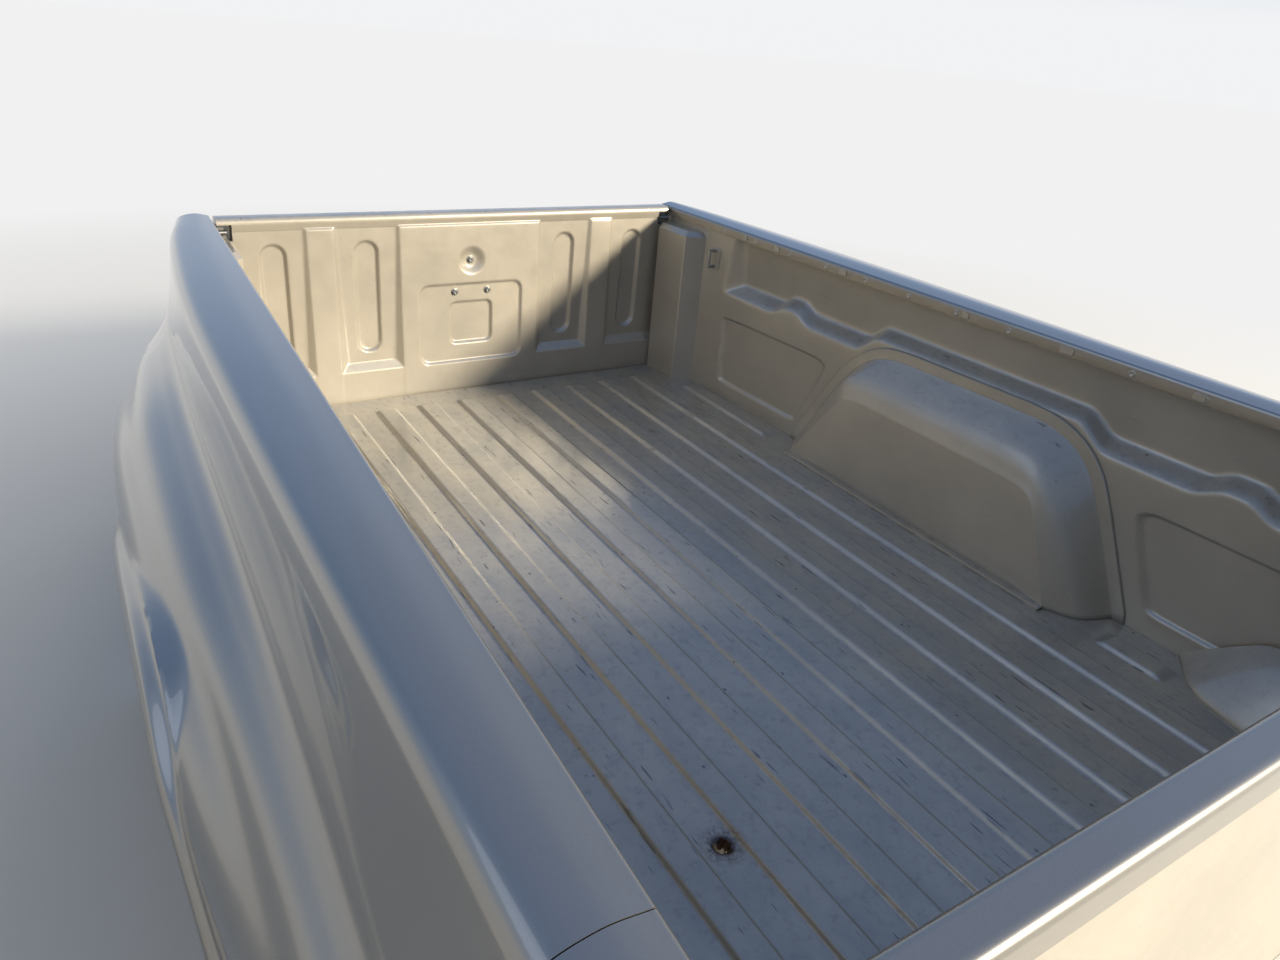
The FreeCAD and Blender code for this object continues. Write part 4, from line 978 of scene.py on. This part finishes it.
# Half widths where the grid is finer: foot of the outer and of the inner pan
PAN_EDGES = (129, 53)


def rounded_pan(y, z, pan, slope=8):
    half, foot, top, corner, depth = pan
    across = abs(y) - half + corner
    upright = abs(z - (foot + top) / 2) - (top - foot) / 2 + corner
    edge = np.hypot(np.maximum(across, 0), np.maximum(upright, 0))
    edge += np.minimum(np.maximum(across, upright), 0) - corner
    return depth * soft_step(-edge, 0, slope)


def gate_depth(y, z):
    """How far the inner face is pressed in."""
    reach = abs(y)
    wedge = np.interp(z, *zip(*FIELD))
    beside = np.minimum(reach - PLATEAU * GATE_HALF, abs(reach - BAR * GATE_HALF) - BAR_HALF)
    depth = soft_min(wedge, SIDE_FALL * soft_max(beside, z - FIELD_TOP, HEAD_BLEND), FIELD_BLEND)
    depth = soft_max(depth, 0, FACE_BLEND) - FACE_PROUD
    middle = (BEAD_FOOT + BEAD_TOP) / 2
    upright = np.maximum(abs(z - middle) - (BEAD_TOP - BEAD_FOOT) / 2 + BEAD_HALF, 0)
    for share in BEADS:
        edge = np.hypot(reach - share * GATE_HALF, upright) - BEAD_HALF
        depth = depth + BEAD_DEPTH * soft_step(-edge, 0, BEAD_SLOPE)
    for pan in CENTRE_PANS:
        depth = depth + rounded_pan(y, z, pan)
    dish = np.hypot(y, z - DISH_Z)
    depth = depth + DISH_DEPTH * (1 - soft_step(dish, DISH_FLOOR, DISH_RADIUS))
    width, deep, foot, top = NOTCH
    return np.where((reach > GATE_HALF - width) & (z > foot) & (z < top), deep, depth)


def outer_depth(y, z):
    depth = rounded_pan(y, z, OUTER_PAN)
    half, foot, top, deep = HANDLE_POCKET
    return np.where((abs(y) < half) & (z > foot) & (z < top), deep, depth)


def corner_arc(x, z, start):
    turns = np.radians(start + np.linspace(0, 90, 7))
    return [(x + GATE_ROUND * math.cos(turn), z + GATE_ROUND * math.sin(turn)) for turn in turns]


# Two grid lines this near a place, and this far apart, make a sharp step there
CRISP = (0.1, 0.2)


def tailgate():
    width, _, foot, top = NOTCH
    pocket_half, pocket_foot, pocket_top, _ = HANDLE_POCKET
    bar = BAR * GATE_HALF
    edges = [PLATEAU * GATE_HALF + 6, bar - BAR_HALF - 6, bar + BAR_HALF + 6, *PAN_EDGES]
    edges += [share * GATE_HALF + side * (BEAD_HALF - 5) for share in BEADS for side in (-1, 1)]
    runs = [(0, GATE_HALF, 5.5), (0, DISH_RADIUS, 2.2)] + [about(edge, 8, 2.2) for edge in edges]
    half = lines(*runs, about(GATE_HALF - width, *CRISP), about(pocket_half, *CRISP))
    y = np.concatenate((-half[:0:-1], half))
    inner = lines((GATE_FOOT, RAIL_TOP - GATE_ROUND, 6), (56, 118, 2.4), (208, 224, 2.4), (246, 270, 2.4),
                  (280, 384, 3), (384, 408, 1.6), (RAIL_TOP - 32, RAIL_TOP - GATE_ROUND, 2.4),
                  about(foot, *CRISP), about(top, *CRISP))
    outer = lines((GATE_FOOT, RAIL_TOP - GATE_ROUND, 24), (38, 54, 3), (256, 272, 3),
                  about(pocket_foot, *CRISP), about(pocket_top, *CRISP))[::-1]
    rows = [(-gate_depth(y, z), z) for z in inner]
    rows += [(x, z) for x, z in corner_arc(-GATE_ROUND, RAIL_TOP - GATE_ROUND, 0)[1:]]
    rows += [(x, z) for x, z in corner_arc(GATE_ROUND - GATE_THICK, RAIL_TOP - GATE_ROUND, 90)]
    rows += [(outer_depth(y, z) - GATE_THICK, z) for z in outer[1:]]
    points = [np.stack((np.broadcast_to(x, y.shape), y, np.full_like(y, z)), axis=-1) for x, z in rows]
    surface = Surface()
    index = surface.grid(np.array(points), closed=True)
    surface.cap(index[:-1, 0])
    surface.cap(index[:-1, -1])
    gate = surface.made("gate_pressing", bed_paint)
    # Its outer face takes the darker body paint, with that painted shade
    gate.data.materials.append(body_paint)
    between_faces = ORIGIN[0] - GATE_THICK / 2 * MM
    for face in gate.data.polygons:
        face.material_index = int(face.center.x < between_faces)
    placed(gate, "tailgate", slot="body_paint", body="tailgate")


# Small pieces: bolts, spot welds, sealer, tie-down plates and tabs on the rail's flange
def turned(surface, place, axis, profile, sides=20):
    """A small turned form; its profile is height along the axis and radius."""
    axis = Vector(axis).normalized()
    first = np.array(axis.orthogonal().normalized())
    second = np.cross(axis, first)
    turn = np.linspace(0, 2 * math.pi, sides + 1)[:, None]
    around = np.cos(turn) * first + np.sin(turn) * second
    points = [np.array(place) + height * np.array(axis) + radius * around for height, radius in profile]
    surface.grid(np.array(points))


def rounded_rings(surface, place, along, up, half_length, half_height, corner, steps):
    """Rings of a rounded rectangle, closed by a cap; steps are height and inset."""
    along, up = np.array(along, float), np.array(up, float)
    out = np.cross(along, up)
    turn = np.linspace(0, 2 * math.pi, 25)[:-1] + 0.001
    middle_x = np.sign(np.cos(turn)) * (half_length - corner)
    middle_z = np.sign(np.sin(turn)) * (half_height - corner)
    rings = []
    for height, inset in steps:
        radius = corner - inset
        x = middle_x + radius * np.cos(turn)
        z = middle_z + radius * np.sin(turn)
        ring = np.array(place) + x[:, None] * along + z[:, None] * up + height * out
        rings.append(np.vstack((ring, ring[:1])))
    index = surface.grid(np.array(rings))
    surface.cap(index[-1][:-1])


def tile(surface, place, along, up, half_length, half_height, corner, thick):
    """A small plate with rounded corners and a soft rim."""
    steps = ((0, 0), (0.7 * thick, 0), (thick, 0.35 * thick), (thick, corner * 0.98))
    rounded_rings(surface, place, along, up, half_length, half_height, corner, steps)


# Bowl behind the fuel door: corner radius, gap to the pocket, round at its back
BOWL_CORNER = 9
BOWL_PLAY = 0.6
BOWL_ROUND = 8


def fuel_bowl(low, high, rim):
    """Pressed bowl behind the fuel door, from its rim back to the root of the filler neck."""
    surface = Surface()
    middle = (low + high) / 2
    half = (high - low) / 2 - BOWL_PLAY
    back = low[1] + BOWL_PLAY
    depth = rim - back
    turns = np.radians(np.linspace(0, 90, 5))
    steps = [(0, 0)]
    steps += [(depth - BOWL_ROUND + BOWL_ROUND * math.sin(turn), BOWL_ROUND * (1 - math.cos(turn)))
              for turn in turns]
    rounded_rings(surface, (middle[0], rim, middle[2]), (1, 0, 0), (0, 0, 1), half[0], half[2],
                  BOWL_CORNER, steps)
    placed(surface.made("fuel_bowl", body_paint), slot="body_paint")


def bead(surface, path, radius, out=(0, 0, 1)):
    """A thin uneven line of sealer along a path."""
    along = np.gradient(path, axis=0)
    along /= np.linalg.norm(along, axis=1)[:, None]
    side = np.cross(along, out)
    side /= np.linalg.norm(side, axis=1)[:, None]
    rings = []
    wide = 1 + 0.25 * np.sin(np.arange(len(path)) * 0.9)[:, None]
    for turn in np.linspace(0, math.pi, 7):
        outward = math.cos(turn) * side + 0.7 * math.sin(turn) * np.array(out)
        rings.append(path + radius * wide * outward)
    surface.grid(np.array(rings))


# Washer and hexagon: height and radius
WASHER = [(0.0, 9.0), (1.3, 9.0), (1.6, 8.4), (1.6, 0.1)]
HEX_HEAD = [(1.6, 6.2), (5.4, 6.2), (6.2, 5.5), (6.2, 3.2), (4.2, 2.9), (4.2, 0.1)]
BOLTS = [(0, DISH_Z), (-42, 239), (42, 239)]


def gate_bolts():
    surface = Surface()
    for y, z in BOLTS:
        depth = float(gate_depth(np.array([y]), np.array([z]))[0])
        place = (-depth, y, z)
        turned(surface, place, (1, 0, 0), WASHER)
        turned(surface, place, (1, 0, 0), HEX_HEAD, 6)
    placed(surface.made("gate_bolts", zinc_steel, angle=25), slot="zinc_steel", body="tailgate")


# Spot weld: height and radius; a line of points round the tub, with a weld at every fifth
WELD = [(0.0, 6.4), (1.0, 5.2), (1.2, 4.3), (0.45, 3.0), (0.3, 0.1)]
WELD_RUN = 17
WELD_POINTS = 132
WELD_EVERY = slice(4, -4, 5)
# Sealer: radius at the flange, the tub's foot, the floor's edge and the filler cover
FLANGE_SEALER = 1.8
FOOT_SEALER = 4.6
EDGE_SEALER = 2.2
COVER_SEALER = 2.4
FOOT_SEALER_IN = 15
EDGE_RUNS = ((REAR_POST_END, WHEEL_X - 440), (WHEEL_X + 400, BED_LENGTH))


def wheelhouse_details(hand, side):
    welds = Surface()
    line = evened(outline_points(HOUSE_WALL, WELD_RUN), WELD_POINTS)
    for ahead, height in line[WELD_EVERY]:
        x = WHEEL_X + ahead
        turned(welds, (x, wall_y(x) - FLANGE_PROUD - 0.05, FLOOR_Z + height), (0, -1, 0), WELD, 14)
    placed(welds.made("welds_" + hand, bed_paint, side=side))
    sealer = Surface()
    flange = outline_points(HOUSE_WALL, FLANGE_WIDTH + 0.5)
    bead(sealer, house_ring(flange, wall_y(WHEEL_X + flange[:, 0])), FLANGE_SEALER, (0, -1, 0))
    foot = outline_points(HOUSE_FACE)
    foot[:, 1] = 0
    foot = evened(foot, 60)
    bead(sealer, house_ring(foot, np.full(len(foot), HOUSE_FACE_Y - FOOT_SEALER_IN)), FOOT_SEALER)
    for start, end in EDGE_RUNS:
        x = np.arange(start, end, 9.0)
        bead(sealer, np.stack((x, wall_y(x), np.full_like(x, FLOOR_Z)), axis=-1), EDGE_SEALER)
    placed(sealer.made("sealer_" + hand, sealer_paint, side=side))


# Tabs on the rail's flange: place and half length; half height, corner and thickness
TABS = [(311, 7), (425, 9), (638, 12), (962, 8), (1176, 13), (1404, 10), (1610, 8)]
TAB_FORM = (6, 2.5, 1.6)
# Plate behind the tie-down: half length, half height, corner and thickness
TIE_PLATE = (19, 27, 5, 2.2)
RAIL_WELDS = np.arange(232, BED_LENGTH - 60, 118.0)
SUNK = 0.2


def rail_details(hand, side):
    surface = Surface()
    for place, half_length in TABS:
        middle = (place, rail_y(place) + SUNK, LIP_Z + 9)
        tile(surface, middle, (1, TAPER, 0), (0, 0, 1), half_length, *TAB_FORM)
    for place in RAIL_WELDS:
        turned(surface, (place, rail_y(place) + SUNK, LIP_Z + 8), (0, -1, 0), WELD, 12)
    placed(surface.made("rail_tabs_" + hand, bed_paint, side=side))
    low, high = bed_box("tie_down_left")
    middle = (low + high) / 2
    plate = Surface()
    middle[1] = wall_y(middle[0]) + SUNK
    tile(plate, middle, (1, TAPER, 0), (0, 0, 1), *TIE_PLATE)
    placed(plate.made("tie_plate_" + hand, bed_paint, side=side))


# Filler tube cover in the front corner: back from the front wall, inward of the wall
COVER_FOOT = [(336, 0), (273, 76), (190, 107), (88, 119), (0, 124)]
COVER_TOP = [(224, 0), (186, 36), (132, 56), (64, 64), (0, 66)]
COVER_POINTS = 60
# Rings from foot to top: share of the way from foot to top outline, height
COVER_RINGS = [(0.0, FLOOR_Z), (0.06, 4), (0.42, 40), (0.78, 72), (0.95, 84), (1.08, 89), (1.35, 91),
               (2.6, 92)]


def cover_ring(share, height):
    foot, top = (evened(smooth_curve(table, 16), COVER_POINTS) for table in (COVER_FOOT, COVER_TOP))
    ring = foot * (1 - share) + top * share
    along = BED_LENGTH - np.maximum(ring[:, 0], 0)
    across = wall_y(along) - np.maximum(ring[:, 1], 0)
    return np.stack((along, across, np.full_like(along, height)), axis=-1)


def filler_cover():
    surface = Surface()
    rings = np.array([cover_ring(share, height) for share, height in COVER_RINGS])
    surface.grid(smooth_curve(rings.reshape(len(rings), -1), 6).reshape(-1, COVER_POINTS, 3))
    placed(surface.made("cover_pressing", bed_paint, angle=70), "filler_cover")
    seam = Surface()
    bead(seam, cover_ring(-0.01, FLOOR_Z), COVER_SEALER)
    placed(seam.made("cover_sealer", sealer_paint))


floor_panel()
for hand, side in (("left", 1), ("right", -1)):
    wheelhouse("tub_" + hand, side)
    inner_wall("wall_" + hand, side)
    bedside_pieces(hand, side)
    wheelhouse_details(hand, side)
    rail_details(hand, side)
tailgate()
gate_bolts()
filler_cover()


def lamp(name, place, aim, size, power, colour):
    data = bpy.data.lights.new(name, "AREA")
    data.shape = "DISK"
    data.size = size
    data.energy = power
    data.color = colour
    made = linked(name, data)
    made.location = place
    made.rotation_mode = "QUATERNION"
    made.rotation_quaternion = (Vector(aim) - Vector(place)).to_track_quat("-Z", "Y")


# Background over the height of the view: pale round the object, light blue overhead
PALE = (0.88, 0.88, 0.88)
SKY = [(0.0, PALE), (0.52, (0.88, 0.89, 0.90)), (0.60, (0.56, 0.68, 0.88)),
       (0.68, (0.31, 0.48, 0.80)), (1.0, (0.19, 0.36, 0.76))]
SOFT_LIGHT = (0.82, 0.90, 1.0)
SOFT_STRENGTH = 0.26
FLOOR_COLOUR = (0.80, 0.80, 0.80)
FLOOR_REACH = 40
FLOOR_GAP = 0.002
# The floor's own colour gives way to the pale background between these distances
PALE_FROM_TO = (1.0, 4.5)
# Lamps: name, place, aim, size, power and colour
LAMPS = [("key", (10.9, 8.05, 5.33), (-0.6, 0, 0.1), 1.8, 4700, (1.0, 0.88, 0.68)),
         ("fill", (-1.5, -5.0, 4.0), (0, 0, 0.1), 4.0, 40, (0.85, 0.91, 1.0))]


def straight_rays(tree):
    """1 for rays from the camera, from mirrors and through glass."""
    rays = tree.nodes.new("ShaderNodeLightPath")
    seen = rays.outputs["Is Camera Ray"]
    for name in ("Is Glossy Ray", "Is Transmission Ray"):
        either = tree.nodes.new("ShaderNodeMath")
        either.operation = "MAXIMUM"
        tree.links.new(seen, either.inputs[0])
        tree.links.new(rays.outputs[name], either.inputs[1])
        seen = either.outputs[0]
    return seen


def make_floor():
    z = cad_box[0].z - FLOOR_GAP
    data = bpy.data.meshes.new("studio_floor")
    corners = [(x * FLOOR_REACH, y * FLOOR_REACH, z) for x, y in ((-1, -1), (1, -1), (1, 1), (-1, 1))]
    data.from_pydata(corners, [], [(0, 1, 2, 3)])
    floor = linked("studio_floor", data)
    paint = Paint("studio_floor", Roughness=0.85)
    paint.shader.inputs["Base Color"].default_value = (*FLOOR_COLOUR, 1)
    pale = paint.node("ShaderNodeEmission", Color=(*PALE, 1), Strength=1.0)
    mixed = paint.node("ShaderNodeMixShader")
    away = paint.maths("SUBTRACT", 1.0, paint.near((0, 0, z), *PALE_FROM_TO))
    paint.link(paint.maths("MULTIPLY", straight_rays(paint.tree), away), mixed.inputs["Fac"])
    paint.link(paint.shader.outputs["BSDF"], mixed.inputs[1])
    paint.link(pale.outputs["Emission"], mixed.inputs[2])
    paint.link(mixed.outputs["Shader"], paint.tree.nodes["Material Output"].inputs["Surface"])
    data.materials.append(paint.material)


def make_world():
    world = bpy.data.worlds.new("studio_world")
    bpy.context.scene.world = world
    world.use_nodes = True
    nodes = world.node_tree.nodes
    links = world.node_tree.links
    soft = nodes["Background"]
    soft.inputs["Color"].default_value = (*SOFT_LIGHT, 1)
    soft.inputs["Strength"].default_value = SOFT_STRENGTH
    pale = nodes.new("ShaderNodeBackground")
    coordinates = nodes.new("ShaderNodeTexCoord")
    height = nodes.new("ShaderNodeSeparateXYZ")
    share = nodes.new("ShaderNodeMapRange")
    share.inputs["From Min"].default_value = -1
    ramp = nodes.new("ShaderNodeValToRGB")
    set_stops(ramp, SKY)
    links.new(coordinates.outputs["Generated"], height.inputs[0])
    links.new(height.outputs["Z"], share.inputs["Value"])
    links.new(share.outputs["Result"], ramp.inputs["Fac"])
    links.new(ramp.outputs["Color"], pale.inputs["Color"])
    mixed = nodes.new("ShaderNodeMixShader")
    links.new(straight_rays(world.node_tree), mixed.inputs["Fac"])
    links.new(soft.outputs["Background"], mixed.inputs[1])
    links.new(pale.outputs["Background"], mixed.inputs[2])
    links.new(mixed.outputs["Shader"], nodes["World Output"].inputs["Surface"])


make_camera()
make_floor()
make_world()
for row in LAMPS:
    lamp(*row)
bpy.context.scene.view_settings.view_transform = "Standard"
